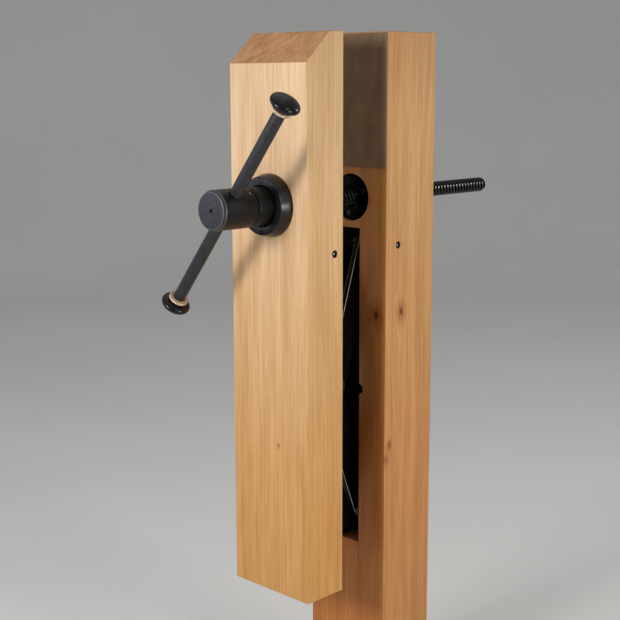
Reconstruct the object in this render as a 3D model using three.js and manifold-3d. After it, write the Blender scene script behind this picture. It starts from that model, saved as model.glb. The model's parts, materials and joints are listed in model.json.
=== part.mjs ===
// A wooden leg vise: a chop (jaw board) that a hand screw draws against a bench leg,
// kept parallel to the leg by a pair of crossed steel arms let into both boards.
// Units are millimetres. +Z is up, -Y is the front, where the handle is, and +X is to the
// right of a person facing the front. The origin is the centre of the leg's foot.

import * as THREE from 'three';
import { mergeVertices } from 'three/addons/utils/BufferGeometryUtils.js';
import Module from 'manifold-3d';

const wasm = await Module();
wasm.setup();

// ---- Driving dimensions -----------------------------------------------------------------

// The two boards
const BOARD_WIDTH = 124;
const BOARD_ARRIS = 1.2;
const LEG_DEPTH = 89;
const LEG_HEIGHT = 864;
const CHOP_TOP = 862;
const CHOP_HEIGHT = 662;
const CHOP_THICKNESS = 59.5;
const CHOP_BEVEL_DEPTH = 37;
const CHOP_BEVEL_HEIGHT = 35;
const JAW_GAP = 76;
const LINER_THICKNESS = 2.5;
const LINER_HEIGHT = 159;

// The plane that holds the screw and the crossed arms, and the screw's height
const HARDWARE_X = 4.5;
const SCREW_Z = 668;

// Gaps between pieces
const CLEARANCE = 0.3;

// Sides of round shapes: large turned pieces, middling ones, and small screws
const FINE = 32;
const MEDIUM = 22;
const COARSE = 12;

// Mortises for the crossed arms
const MORTISE_WIDTH = 30;
const MORTISE_TOP = 631;
const MORTISE_BOTTOM = 229;
const RELIEF_Z = 430;
const RELIEF_RADIUS = 6.2;
const RELIEF_DEPTH = 13.5;

// Crossed arms
const ARM_PIN_Z = 612.2;
const LEG_PIN_DEPTH = 22.3;
const CHOP_PIN_DEPTH = 13.7;
const ARM_HALF_LENGTH = 183.6;
const ARM_THICKNESS = 7;
const ARM_HALF_WIDTH = 15;
const ARM_FOOT_RADIUS = 10.5;
const ARM_TAPER_LENGTH = 60;
const ARM_SPLIT = 0.8;
const PIN_RADIUS = 4;
const BUSHING_RADIUS = 6.7;
const ROLLER_RADIUS = 12;
const WEAR_PLATE_THICKNESS = 3;
const WEAR_PLATE_BOTTOM = 236;
const WEAR_PLATE_TOP = 330;
const CENTRE_BOLT_RADIUS = 5;
const CENTRE_HEX_RADIUS = 7.2;
const CENTRE_HEAD_HEIGHT = 4.9;
const CENTRE_NUT_HEIGHT = 4.9;
const CENTRE_WASHER_RADIUS = 13.6;
const CENTRE_SLOT_RADIUS = 9.3;
const WASHER_THICKNESS = 1.7;

// Screw, hub and flange
const SCREW_RADIUS = 9.5;
const SCREW_END_Y = 221;
const SCREW_BORE_RADIUS = 11;
const HUB_RADIUS = 22.8;
const HUB_LENGTH = 51;
const HUB_REACH = 91;
const HUB_SHOULDER_Y = 81.4;
const HUB_SOCKET_Y = 35;
const HUB_CHAMFER = 1.9;
const HUB_CHAMFER_LENGTH = 3.4;
const NECK_RADIUS = 15;
const NECK_END_Y = 100.4;
const COLLAR_WALL = 6.5;
const FLANGE_RADIUS = 36.2;
const FLANGE_FACE_RADIUS = 33.3;
const FLANGE_EDGE = 3.9;
const FLANGE_THICKNESS = 16;
const FLANGE_SCREW_CIRCLE = 28.9;
const FLANGE_SCREW_TURN = 90;
const NUT_FLANGE_RADIUS = 28.2;
const NUT_BODY_RADIUS = 17;
const NUT_LENGTH = 44;
const NUT_SCREW_CIRCLE = 20.4;
const NUT_SCREW_TURN = 20;

// Handle
const BAR_RADIUS = 7.15;
const BAR_HALF_SPAN = 138;
const BAR_FROM_HUB_FACE = 24.3;
const BAR_TILT = 51.6;
const BAR_SHIFT = -0.5;
const BAR_TENON = 8;
const KNOB_RADIUS = 17.4;
const KNOB_HEIGHT = 14.8;
const KNOB_RIM_HEIGHT = 7;
const COLLAR_RADIUS = 9.8;
const COLLAR_HEIGHT = 2.2;
const GRIP_WASHER_RADIUS = 11.6;
const GRIP_WASHER_THICKNESS = 3.3;

// Fasteners
const WOOD_SCREW_HEAD_RADIUS = 3.5;
const WOOD_SCREW_SHANK_RADIUS = 2;
const WOOD_SCREW_HEAD_DEPTH = 2.4;
const GRUB_RADIUS = 4.1;
const GRUB_LENGTH = 8;
const GRUB_RECESS = 1;

// ---- Derived places ---------------------------------------------------------------------

const LEG_FRONT = -LEG_DEPTH / 2;
const CHOP_BACK = LEG_FRONT - JAW_GAP;
const CHOP_FRONT = CHOP_BACK - CHOP_THICKNESS;
const LEG_PIN_Y = LEG_FRONT + LEG_PIN_DEPTH;
const CHOP_PIN_Y = CHOP_BACK - CHOP_PIN_DEPTH;
const ARM_TILT = Math.asin((LEG_PIN_Y - CHOP_PIN_Y) / (2 * ARM_HALF_LENGTH));
const LEG_MORTISE_DEPTH = mortiseDepth(LEG_PIN_DEPTH);
const CHOP_MORTISE_DEPTH = mortiseDepth(CHOP_PIN_DEPTH);
const HUB_FACE_Y = CHOP_FRONT - HUB_REACH;
const BAR_Y = HUB_FACE_Y + BAR_FROM_HUB_FACE;

// Faces of the two arms along X, measured from the hardware plane
const ARM_INNER_FACE = ARM_SPLIT / 2;
const ARM_OUTER_FACE = ARM_INNER_FACE + ARM_THICKNESS;

function mortiseDepth(pinDepth) {
  return pinDepth + ROLLER_RADIUS + WEAR_PLATE_THICKNESS + 2.5 * CLEARANCE;
}

// ---- Solid helpers ----------------------------------------------------------------------

// A three.js geometry as a manifold solid
function toSolid(geometry) {
  const bare = geometry.index ? geometry.clone() : geometry;
  bare.deleteAttribute('normal');
  bare.deleteAttribute('uv');
  const merged = mergeVertices(bare, 1e-4);
  const vertProperties = new Float32Array(merged.attributes.position.array);
  const triVerts = new Uint32Array(merged.index.array);
  return new wasm.Manifold(new wasm.Mesh({ numProp: 3, vertProperties, triVerts }));
}

// A manifold solid back as a three.js geometry
function toGeometry(solid) {
  const mesh = solid.getMesh();
  const geometry = new THREE.BufferGeometry();
  geometry.setAttribute('position', new THREE.BufferAttribute(mesh.vertProperties, 3));
  geometry.setIndex(new THREE.BufferAttribute(mesh.triVerts, 1));
  geometry.computeVertexNormals();
  return geometry;
}

function cut(base, ...tools) {
  const rest = tools.reduce((solid, tool) => solid.subtract(toSolid(tool)), toSolid(base));
  return toGeometry(rest);
}

function join(...parts) {
  const solids = parts.map(toSolid);
  return toGeometry(solids.reduce((whole, solid) => whole.add(solid)));
}

// A box between two corners
function box(low, high) {
  const size = high.map((value, axis) => value - low[axis]);
  const geometry = new THREE.BoxGeometry(...size);
  return geometry.translate(...low.map((value, axis) => value + size[axis] / 2));
}

// Cylinders along X, Y and Z, each from one end to the other
function rodY(radius, from, to, sides = MEDIUM) {
  const geometry = new THREE.CylinderGeometry(radius, radius, to - from, sides);
  return geometry.translate(0, (from + to) / 2, 0);
}

function rodX(radius, from, to, sides = MEDIUM) {
  return rodY(radius, from, to, sides).rotateZ(-Math.PI / 2);
}

function rodZ(radius, from, to, sides = MEDIUM) {
  return rodY(radius, from, to, sides).rotateX(Math.PI / 2);
}

// A turned piece round Y, from a list of [radius, y] pairs
function turned(profile, sides = MEDIUM) {
  const points = profile.map(([radius, y]) => new THREE.Vector2(radius, y));
  const geometry = new THREE.LatheGeometry(points, sides);
  return outward(geometry);
}

// The same geometry with its faces turned outwards
function outward(geometry) {
  const solid = toSolid(geometry);
  if (solid.volume() > 0) return toGeometry(solid);
  const flipped = geometry.clone();
  const index = flipped.index.array;
  for (let i = 0; i < index.length; i += 3) {
    [index[i], index[i + 1]] = [index[i + 1], index[i]];
  }
  return toGeometry(toSolid(flipped));
}

// A ring round Y between two radii
function ringY(inner, outer, from, to, sides = MEDIUM) {
  const profile = [[inner, from], [outer, from], [outer, to], [inner, to], [inner, from]];
  return turned(profile, sides);
}

function ringX(inner, outer, from, to, sides = MEDIUM) {
  return ringY(inner, outer, from, to, sides).rotateZ(-Math.PI / 2);
}

// Points on a quarter of an ellipse, from angle a to angle b in degrees
function ellipseArc(centreR, centreY, radiusR, radiusY, a, b, steps) {
  return Array.from({ length: steps + 1 }, (_, i) => {
    const angle = THREE.MathUtils.degToRad(a + ((b - a) * i) / steps);
    return [centreR + radiusR * Math.cos(angle), centreY + radiusY * Math.sin(angle)];
  });
}

function polar(radius, degrees) {
  const angle = THREE.MathUtils.degToRad(degrees);
  return [radius * Math.cos(angle), radius * Math.sin(angle)];
}

// ---- Materials --------------------------------------------------------------------------

function material(color, roughness, metalness) {
  return () => new THREE.MeshStandardMaterial({ color, roughness, metalness });
}

const wood = material(0xd9a870, 0.6, 0);
const suede = material(0x6f675a, 0.95, 0);
const leather = material(0xd9b48c, 0.7, 0);
const blackSteel = material(0x2a2b2e, 0.45, 0.9);
const glossBlack = material(0x0b0b0d, 0.15, 0.6);
const plainSteel = material(0x9a9a9a, 0.35, 1);
const bronze = material(0xa9793a, 0.4, 1);

function piece(name, geometry, makeMaterial) {
  const mesh = new THREE.Mesh(geometry, makeMaterial());
  mesh.name = name;
  return mesh;
}

function placed(object, x, y, z) {
  object.position.set(x, y, z);
  return object;
}

// ---- Boards -----------------------------------------------------------------------------

// A slot open at the board's face at y = 0, running back by depth (negative runs forward)
function mortise(depth) {
  const half = MORTISE_WIDTH / 2;
  const [near, far] = depth > 0 ? [-1, depth] : [depth, 1];
  return box(
    [HARDWARE_X - half, near, MORTISE_BOTTOM],
    [HARDWARE_X + half, far, MORTISE_TOP],
  );
}

// Half-round pockets in both mortise walls that clear the centre bolt's ends
function reliefs(depth) {
  const [near, far] = depth > 0 ? [-1, depth] : [depth, 1];
  return [-1, 1].map((side) => {
    const x = HARDWARE_X + (side * MORTISE_WIDTH) / 2;
    return rodY(RELIEF_RADIUS, near, far, 16).translate(x, 0, RELIEF_Z);
  });
}

// The hole for an arm's pivot pin, bored in from the right side and stopped short of the left
function pinHole(depth) {
  const hole = rodX(GRUB_RADIUS + CLEARANCE, -BOARD_WIDTH / 2 + 20, BOARD_WIDTH / 2 + 1, 16);
  return hole.translate(0, depth, ARM_PIN_Z);
}

// Pilot holes for the two screws of a wear plate, beyond the mortise's floor
function platePilots(floor, side) {
  const direction = Math.sign(floor);
  return plateScrewPlaces(side).map(([x, z]) => {
    const ends = [floor - direction, floor + direction * 16].sort((a, b) => a - b);
    return rodY(WOOD_SCREW_SHANK_RADIUS + CLEARANCE, ...ends, 8).translate(x, 0, z);
  });
}

// Wear plate screws stand beside the roller's track: side is the half that they are in
function plateScrewPlaces(side) {
  const x = HARDWARE_X + side * 7;
  return [WEAR_PLATE_BOTTOM + 9, WEAR_PLATE_TOP - 9].map((z) => [x, z]);
}

// A board's outline seen from the side as [y, z] pairs, extruded across the width with the
// arrises eased by a small chamfer
function board(outline) {
  const shape = new THREE.Shape(outline.map(([y, z]) => new THREE.Vector2(y, z)));
  const geometry = new THREE.ExtrudeGeometry(shape, {
    depth: BOARD_WIDTH - 2 * BOARD_ARRIS,
    bevelEnabled: true,
    bevelThickness: BOARD_ARRIS,
    bevelSize: BOARD_ARRIS,
    bevelOffset: -BOARD_ARRIS,
    bevelSegments: 1,
  });
  geometry.translate(0, 0, -BOARD_WIDTH / 2 + BOARD_ARRIS);
  return geometry.applyMatrix4(new THREE.Matrix4().makeBasis(
    new THREE.Vector3(0, 1, 0),
    new THREE.Vector3(0, 0, 1),
    new THREE.Vector3(1, 0, 0),
  ));
}

// The bench leg, in a frame whose y = 0 is its front face
function legPost() {
  const post = board([
    [0, 0],
    [LEG_DEPTH, 0],
    [LEG_DEPTH, LEG_HEIGHT],
    [0, LEG_HEIGHT],
  ]);
  const nutHoles = [
    rodY(NUT_FLANGE_RADIUS + 0.6, -1, 7, FINE),
    rodY(NUT_BODY_RADIUS + CLEARANCE, 6, NUT_LENGTH + 1.5),
    rodY(SCREW_BORE_RADIUS, NUT_LENGTH, LEG_DEPTH + 1),
    ...nutScrewPlaces().map(([x, z]) => {
      return rodY(WOOD_SCREW_SHANK_RADIUS + CLEARANCE, 6, 32, 8).translate(x, 0, z);
    }),
  ].map((tool) => tool.translate(HARDWARE_X, 0, SCREW_Z));
  return cut(
    post,
    mortise(LEG_MORTISE_DEPTH),
    ...reliefs(RELIEF_DEPTH),
    pinHole(LEG_PIN_DEPTH),
    ...platePilots(LEG_MORTISE_DEPTH, -1),
    ...nutHoles,
  );
}

// The chop, in a frame whose y = 0 is its inner face
function chopBoard() {
  const bottom = CHOP_TOP - CHOP_HEIGHT;
  const front = -CHOP_THICKNESS;
  const blank = board([
    [front, bottom],
    [0, bottom],
    [0, CHOP_TOP],
    [front + CHOP_BEVEL_DEPTH, CHOP_TOP],
    [front, CHOP_TOP - CHOP_BEVEL_HEIGHT],
  ]);
  const screwHoles = [
    rodY(24, front - 1, front + 11.5),
    rodY(SCREW_BORE_RADIUS, front + 10, 1),
    ...flangeScrewPlaces().map(([x, z]) => {
      return rodY(WOOD_SCREW_SHANK_RADIUS + CLEARANCE, front - 1, front + 24, 8)
        .translate(x, 0, z);
    }),
  ].map((tool) => tool.translate(HARDWARE_X, 0, SCREW_Z));
  return cut(
    blank,
    mortise(-CHOP_MORTISE_DEPTH),
    ...reliefs(-RELIEF_DEPTH / 2),
    pinHole(-CHOP_PIN_DEPTH),
    ...platePilots(-CHOP_MORTISE_DEPTH, 1),
    ...screwHoles,
  );
}

// The suede glued to the leg's front face above the nut
function suedeLiner() {
  return box(
    [-BOARD_WIDTH / 2 + 0.5, -LINER_THICKNESS - 0.1, LEG_HEIGHT - LINER_HEIGHT],
    [BOARD_WIDTH / 2 - 0.5, -0.1, LEG_HEIGHT - BOARD_ARRIS],
  );
}

// ---- Fasteners --------------------------------------------------------------------------

// A hexagonal key socket, sunk from y = 0
function keySocket(radius, depth) {
  return rodY(radius, -1, depth, 6);
}

// A flat-head wood screw with a key socket: its head's face is at y = 0, its point at +Y
function woodScrew(length) {
  const cone = WOOD_SCREW_HEAD_DEPTH;
  const body = turned([
    [0, 0],
    [WOOD_SCREW_HEAD_RADIUS, 0],
    [WOOD_SCREW_HEAD_RADIUS, 0.5],
    [WOOD_SCREW_SHANK_RADIUS, cone],
    [WOOD_SCREW_SHANK_RADIUS, length - 4],
    [0, length],
  ], COARSE);
  return cut(body, keySocket(1.6, 1.5));
}

// The countersunk hole that such a screw sits in, from y = 0 to the plate's back
function screwSeat(thickness) {
  const cone = WOOD_SCREW_HEAD_DEPTH;
  const head = WOOD_SCREW_HEAD_RADIUS + CLEARANCE;
  const shank = WOOD_SCREW_SHANK_RADIUS + CLEARANCE;
  return turned([
    [0, -1],
    [head, -1],
    [head, 0.6],
    [shank, cone + 0.1],
    [shank, thickness + 1],
    [0, thickness + 1],
  ], COARSE);
}

// A headless grub screw with a key socket in the end at x = 0, running to -X
function grubScrew(radius, length) {
  const body = rodX(radius, -length, 0, COARSE);
  return cut(body, keySocket(radius * 0.5, length * 0.4).rotateZ(Math.PI / 2));
}

function screwCircle(radius, count, turn) {
  return Array.from({ length: count }, (_, i) => polar(radius, turn + (360 * i) / count));
}

function flangeScrewPlaces() {
  return screwCircle(FLANGE_SCREW_CIRCLE, 2, FLANGE_SCREW_TURN);
}

function nutScrewPlaces() {
  return screwCircle(NUT_SCREW_CIRCLE, 3, NUT_SCREW_TURN);
}

// ---- Screw train ------------------------------------------------------------------------

// The round plate on the chop's front, with y = 0 at the chop's face. Its rim is a long shallow
// cone. The hub's barrel turns in its mouth, and a web inside it is held between the hub's
// shoulder and the collar.
function frontFlange() {
  const face = -FLANGE_THICKNESS;
  const mouth = HUB_RADIUS + 0.6;
  const body = turned([
    [NECK_RADIUS + 0.8, -7.5],
    [mouth, -7.5],
    [mouth, face + 0.8],
    [mouth + 0.8, face],
    [FLANGE_FACE_RADIUS, face],
    [FLANGE_RADIUS, -FLANGE_EDGE],
    [FLANGE_RADIUS, -CLEARANCE],
    [NECK_RADIUS + COLLAR_WALL + 0.5, -CLEARANCE],
    [NECK_RADIUS + COLLAR_WALL + 0.5, -3.5],
    [NECK_RADIUS + 0.8, -3.5],
    [NECK_RADIUS + 0.8, -7.5],
  ], FINE);
  const seats = flangeScrewPlaces().map(([x, z]) => {
    return screwSeat(FLANGE_THICKNESS).translate(x, face, z);
  });
  return cut(body, ...seats);
}

// The handle hub: a solid head that carries the bar, a grooved barrel, and a neck that runs
// through the flange. y = 0 is its front face.
function hub() {
  const body = turned([
    [0, 1.5],
    [1.5, 0],
    [HUB_RADIUS - HUB_CHAMFER, 0],
    [HUB_RADIUS, HUB_CHAMFER_LENGTH],
    [HUB_RADIUS, HUB_LENGTH - 0.6],
    [HUB_RADIUS - 0.6, HUB_LENGTH],
    [HUB_RADIUS - 1.9, HUB_LENGTH + 0.3],
    [HUB_RADIUS - 1.9, HUB_LENGTH + 1.3],
    ...ellipseArc(HUB_RADIUS - 4.3, HUB_LENGTH + 5.3, 4, 4, -62, 0, 3),
    [HUB_RADIUS - 0.3, HUB_SHOULDER_Y],
    [NECK_RADIUS, HUB_SHOULDER_Y],
    [NECK_RADIUS, NECK_END_Y],
    [SCREW_RADIUS + CLEARANCE, NECK_END_Y],
    [SCREW_RADIUS + CLEARANCE, HUB_SOCKET_Y],
    [0, HUB_SOCKET_Y],
  ], FINE);
  const barHole = rodX(BAR_RADIUS + CLEARANCE, -30, 30)
    .translate(0, BAR_FROM_HUB_FACE, 0)
    .rotateY(THREE.MathUtils.degToRad(-BAR_TILT));
  const countersinks = [-1, 1].map((side) => {
    const cone = new THREE.CylinderGeometry(BAR_RADIUS + 3, BAR_RADIUS - 1, 4, MEDIUM);
    return cone
      .rotateZ((-side * Math.PI) / 2)
      .translate(side * (HUB_RADIUS - 0.9), BAR_FROM_HUB_FACE, 0)
      .rotateY(THREE.MathUtils.degToRad(-BAR_TILT));
  });
  const grubHole = rodX(2.4, SCREW_RADIUS - 1, 30, COARSE)
    .translate(0, HUB_LENGTH - 4.5, 0)
    .rotateY(THREE.MathUtils.degToRad(-BAR_TILT));
  return cut(body, barHole, ...countersinks, grubHole);
}

// The nut let into the leg, with y = 0 at the leg's front face
function screwNut() {
  const face = 0.6;
  const bore = SCREW_RADIUS + CLEARANCE;
  const body = turned([
    [bore, face + 2.4],
    [bore + 2.4, face],
    [NUT_FLANGE_RADIUS - 2.6, face],
    [NUT_FLANGE_RADIUS, face + 2.4],
    [NUT_FLANGE_RADIUS, 6.7],
    [NUT_BODY_RADIUS, 6.7],
    [NUT_BODY_RADIUS, NUT_LENGTH],
    [bore, NUT_LENGTH],
    [bore, face + 2.4],
  ], FINE);
  const seats = nutScrewPlaces().map(([x, z]) => screwSeat(7).translate(x, face, z));
  return cut(body, ...seats);
}

// The hand screw, from inside the hub to its free end behind the leg
function viseScrew() {
  const start = HUB_FACE_Y + HUB_SOCKET_Y + 0.5;
  return turned([
    [0, start],
    [SCREW_RADIUS - 1, start],
    [SCREW_RADIUS, start + 1],
    ...ellipseArc(SCREW_RADIUS - 3.5, SCREW_END_Y - 4.5, 3.5, 4.5, 0, 75, 3),
    [0, SCREW_END_Y],
  ]);
}

function addScrewTrain(parent) {
  const train = placed(new THREE.Group(), HARDWARE_X, 0, SCREW_Z);
  train.add(placed(piece('hub', hub(), blackSteel), 0, HUB_FACE_Y, 0));
  train.add(piece('vise_screw', viseScrew(), glossBlack));
  const collar = cut(
    ringY(NECK_RADIUS + CLEARANCE, NECK_RADIUS + COLLAR_WALL, CHOP_FRONT - 1.3, CHOP_FRONT + 9),
    rodZ(2.6, NECK_RADIUS - 1, NECK_RADIUS + 8, COARSE).translate(0, CHOP_FRONT + 4, 0),
  );
  train.add(piece('retaining_collar', collar, plainSteel));
  const collarGrub = grubScrew(2.3, 5.5);
  collarGrub.rotateY(-Math.PI / 2).translate(0, CHOP_FRONT + 4, NECK_RADIUS + 6.2);
  train.add(piece('collar_grub_screw', collarGrub, plainSteel));
  const hubGrub = grubScrew(2.1, 11).translate(HUB_RADIUS - 0.9, 0, 0);
  const hubGrubMesh = piece('hub_grub_screw', hubGrub, blackSteel);
  hubGrubMesh.rotation.y = THREE.MathUtils.degToRad(-BAR_TILT);
  train.add(placed(hubGrubMesh, 0, HUB_FACE_Y + HUB_LENGTH - 4.5, 0));
  parent.add(train);
}

// Pieces that stay on the chop round the screw: the flange, its screws and thrust washers
function addFlange(parent) {
  const seat = placed(new THREE.Group(), HARDWARE_X, CHOP_FRONT, SCREW_Z);
  seat.add(piece('front_flange', frontFlange(), blackSteel));
  flangeScrewPlaces().forEach(([x, z], i) => {
    const screw = piece(`flange_screw_${i + 1}`, woodScrew(34), blackSteel);
    seat.add(placed(screw, x, -FLANGE_THICKNESS, z));
  });
  const frontWasher = ringY(NECK_RADIUS + 0.5, HUB_RADIUS - 0.2, -9.3, -7.8);
  seat.add(piece('thrust_washer_front', frontWasher, bronze));
  const rearWasher = ringY(NECK_RADIUS + 0.5, NECK_RADIUS + COLLAR_WALL, -3.2, -1.6);
  seat.add(piece('thrust_washer_rear', rearWasher, bronze));
  parent.add(seat);
}

function addNut(parent) {
  const seat = placed(new THREE.Group(), HARDWARE_X, LEG_FRONT, SCREW_Z);
  seat.add(piece('screw_nut', screwNut(), blackSteel));
  nutScrewPlaces().forEach(([x, z], i) => {
    const screw = piece(`nut_screw_${i + 1}`, woodScrew(29), blackSteel);
    seat.add(placed(screw, x, 0.6, z));
  });
  parent.add(seat);
}

// ---- Handle -----------------------------------------------------------------------------

// A domed knob that points along +Y, with y = 0 at the face that meets the leather washer
function knob() {
  const bore = BAR_RADIUS + CLEARANCE;
  return turned([
    [bore, 0],
    [COLLAR_RADIUS, 0],
    [COLLAR_RADIUS, COLLAR_HEIGHT],
    ...ellipseArc(
      COLLAR_RADIUS + 0.6, KNOB_RIM_HEIGHT,
      KNOB_RADIUS - COLLAR_RADIUS - 0.6, KNOB_RIM_HEIGHT - COLLAR_HEIGHT, -90, 0, 3,
    ),
    ...ellipseArc(0, KNOB_RIM_HEIGHT, KNOB_RADIUS, KNOB_HEIGHT - KNOB_RIM_HEIGHT, 18, 90, 4),
    [0, BAR_TENON + 0.5],
    [bore, BAR_TENON + 0.5],
    [bore, 0],
  ]);
}

// The sliding bar with its washers and knobs, along X before its group is tilted
function addHandle(parent) {
  const handle = placed(new THREE.Group(), HARDWARE_X, BAR_Y, SCREW_Z);
  handle.rotation.y = THREE.MathUtils.degToRad(-BAR_TILT);
  const slide = placed(new THREE.Group(), BAR_SHIFT, 0, 0);
  const washerOuter = BAR_HALF_SPAN + GRIP_WASHER_THICKNESS;
  const barEnd = washerOuter + BAR_TENON;
  slide.add(piece('handle_bar', rodX(BAR_RADIUS, -barEnd, barEnd), blackSteel));
  for (const [side, name] of [[1, 'upper'], [-1, 'lower']]) {
    const end = new THREE.Group();
    end.rotation.z = (-side * Math.PI) / 2;
    const washer = ringY(
      BAR_RADIUS + CLEARANCE, GRIP_WASHER_RADIUS, BAR_HALF_SPAN, washerOuter - CLEARANCE,
    );
    end.add(piece(`leather_washer_${name}`, washer, leather));
    end.add(placed(piece(`knob_${name}`, knob(), glossBlack), 0, washerOuter, 0));
    slide.add(end);
  }
  handle.add(slide);
  parent.add(handle);
}

// ---- Crossed arms -----------------------------------------------------------------------

// An arm's plate in its own frame: the pivot at the origin, the foot at -Z, the thickness
// along X from the inner face to the outer face on the given side
function armPlate(side, centreRadius) {
  const length = 2 * ARM_HALF_LENGTH;
  const shape = new THREE.Shape();
  shape.moveTo(ARM_HALF_WIDTH, 0);
  shape.absarc(0, 0, ARM_HALF_WIDTH, 0, Math.PI, false);
  shape.lineTo(-ARM_HALF_WIDTH, ARM_TAPER_LENGTH - length);
  shape.lineTo(-ARM_FOOT_RADIUS, -length);
  shape.absarc(0, -length, ARM_FOOT_RADIUS, Math.PI, 2 * Math.PI, false);
  shape.lineTo(ARM_HALF_WIDTH, ARM_TAPER_LENGTH - length);
  const plate = new THREE.ExtrudeGeometry(shape, {
    depth: ARM_THICKNESS,
    bevelEnabled: false,
    curveSegments: 10,
  });
  plate.applyMatrix4(new THREE.Matrix4().makeBasis(
    new THREE.Vector3(0, 1, 0),
    new THREE.Vector3(0, 0, 1),
    new THREE.Vector3(1, 0, 0),
  ));
  plate.translate(side > 0 ? ARM_INNER_FACE : -ARM_OUTER_FACE, 0, 0);
  return cut(
    plate,
    rodX(BUSHING_RADIUS + CLEARANCE, -20, 20),
    rodX(centreRadius, -20, 20).translate(0, 0, -ARM_HALF_LENGTH),
    rodX(PIN_RADIUS + CLEARANCE, -20, 20, COARSE).translate(0, 0, -length),
  );
}

// The hardened roller beside an arm's foot, on the other arm's side
function roller(side) {
  const near = side * (ARM_INNER_FACE - CLEARANCE);
  const inner = Math.min(near, near - side * ARM_THICKNESS);
  const bore = PIN_RADIUS + CLEARANCE;
  const ring = turned([
    [bore, inner],
    [ROLLER_RADIUS - 0.8, inner],
    [ROLLER_RADIUS, inner + 0.8],
    [ROLLER_RADIUS, inner + ARM_THICKNESS - 0.8],
    [ROLLER_RADIUS - 0.8, inner + ARM_THICKNESS],
    [bore, inner + ARM_THICKNESS],
    [bore, inner],
  ]);
  return ring.rotateZ(-Math.PI / 2);
}

// The pin through the foot and its roller: a round head outside the arm, a clip groove inside
function rollerPin(side) {
  const head = ARM_OUTER_FACE + CLEARANCE;
  const tip = -ARM_THICKNESS - 2.4;
  const pin = turned([
    [0, tip],
    [PIN_RADIUS - 0.6, tip],
    [PIN_RADIUS, tip + 0.6],
    [PIN_RADIUS, head],
    [PIN_RADIUS + 2.2, head],
    [PIN_RADIUS + 2.2, head + 1.6],
    [PIN_RADIUS + 1.2, head + 2.4],
    [0, head + 2.4],
  ], COARSE);
  return pin.rotateZ(side > 0 ? -Math.PI / 2 : Math.PI / 2);
}

function armGroup(side, pivotY, tilt) {
  const group = placed(new THREE.Group(), HARDWARE_X, pivotY, ARM_PIN_Z);
  group.rotation.x = tilt;
  return group;
}

function addArm(parent, name, side, pivotY, tilt, centreRadius) {
  const arm = armGroup(side, pivotY, tilt);
  const length = 2 * ARM_HALF_LENGTH;
  const faces = [ARM_INNER_FACE, ARM_OUTER_FACE].map((x) => side * x).sort((a, b) => a - b);
  arm.add(piece(`${name}_arm`, armPlate(side, centreRadius), blackSteel));
  arm.add(piece(`${name}_arm_bushing`, ringX(PIN_RADIUS + CLEARANCE, BUSHING_RADIUS, ...faces),
    bronze));
  arm.add(placed(piece(`${name}_arm_roller`, roller(side), plainSteel), 0, 0, -length));
  arm.add(placed(piece(`${name}_arm_roller_pin`, rollerPin(side), blackSteel), 0, 0, -length));
  parent.add(arm);
  return arm;
}

// The bolt through both arms: it turns with the leg's arm, and the chop's arm has a slack hole
// that its wide washers cover
function addCentreBolt(arm) {
  const centre = placed(new THREE.Group(), 0, 0, -ARM_HALF_LENGTH);
  const washerFace = ARM_OUTER_FACE + CLEARANCE;
  const nutFace = washerFace + WASHER_THICKNESS + CLEARANCE;
  const nutEnd = nutFace + CENTRE_NUT_HEIGHT;
  const bolt = join(
    rodX(CENTRE_BOLT_RADIUS, -nutFace - 1, nutEnd + 1.2, COARSE),
    rodX(CENTRE_HEX_RADIUS, -nutFace - CENTRE_HEAD_HEIGHT, -nutFace, 6),
  );
  const nut = cut(
    rodX(CENTRE_HEX_RADIUS, nutFace, nutEnd, 6),
    rodX(CENTRE_BOLT_RADIUS + CLEARANCE, nutFace - 1, nutEnd + 1, COARSE),
  );
  const bore = CENTRE_BOLT_RADIUS + CLEARANCE;
  const washers = [-washerFace - WASHER_THICKNESS, washerFace].map((x) => {
    return ringX(bore, CENTRE_WASHER_RADIUS, x, x + WASHER_THICKNESS);
  });
  centre.add(piece('centre_bolt', bolt, blackSteel));
  centre.add(piece('centre_nut', nut, blackSteel));
  centre.add(piece('centre_washer_left', washers[0], blackSteel));
  centre.add(piece('centre_washer_right', washers[1], blackSteel));
  arm.add(centre);
}

// The pivot pin, its locking grub screw and the two spacers beside an arm's head
function addPivot(parent, name, side, y) {
  const pivot = placed(new THREE.Group(), 0, y, ARM_PIN_Z);
  const grubFace = BOARD_WIDTH / 2 - GRUB_RECESS;
  const pinEnd = grubFace - GRUB_LENGTH - CLEARANCE;
  const wall = MORTISE_WIDTH / 2 - CLEARANCE;
  const faces = [ARM_INNER_FACE, ARM_OUTER_FACE].map((x) => side * x).sort((a, b) => a - b);
  const pin = rodX(PIN_RADIUS, -BOARD_WIDTH / 2 + 21, pinEnd, COARSE);
  pivot.add(piece(`${name}_pivot_pin`, pin, plainSteel));
  const grub = grubScrew(GRUB_RADIUS, GRUB_LENGTH).translate(grubFace, 0, 0);
  pivot.add(piece(`${name}_pin_grub_screw`, grub, blackSteel));
  const bore = PIN_RADIUS + CLEARANCE;
  const spacers = [
    ringX(bore, 8, -wall, faces[0] - CLEARANCE, COARSE),
    ringX(bore, 8, faces[1] + CLEARANCE, wall, COARSE),
  ];
  ['left', 'right'].forEach((label, i) => {
    const spacer = piece(`${name}_spacer_${label}`, spacers[i], plainSteel);
    pivot.add(placed(spacer, HARDWARE_X, 0, 0));
  });
  parent.add(pivot);
}

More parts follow.
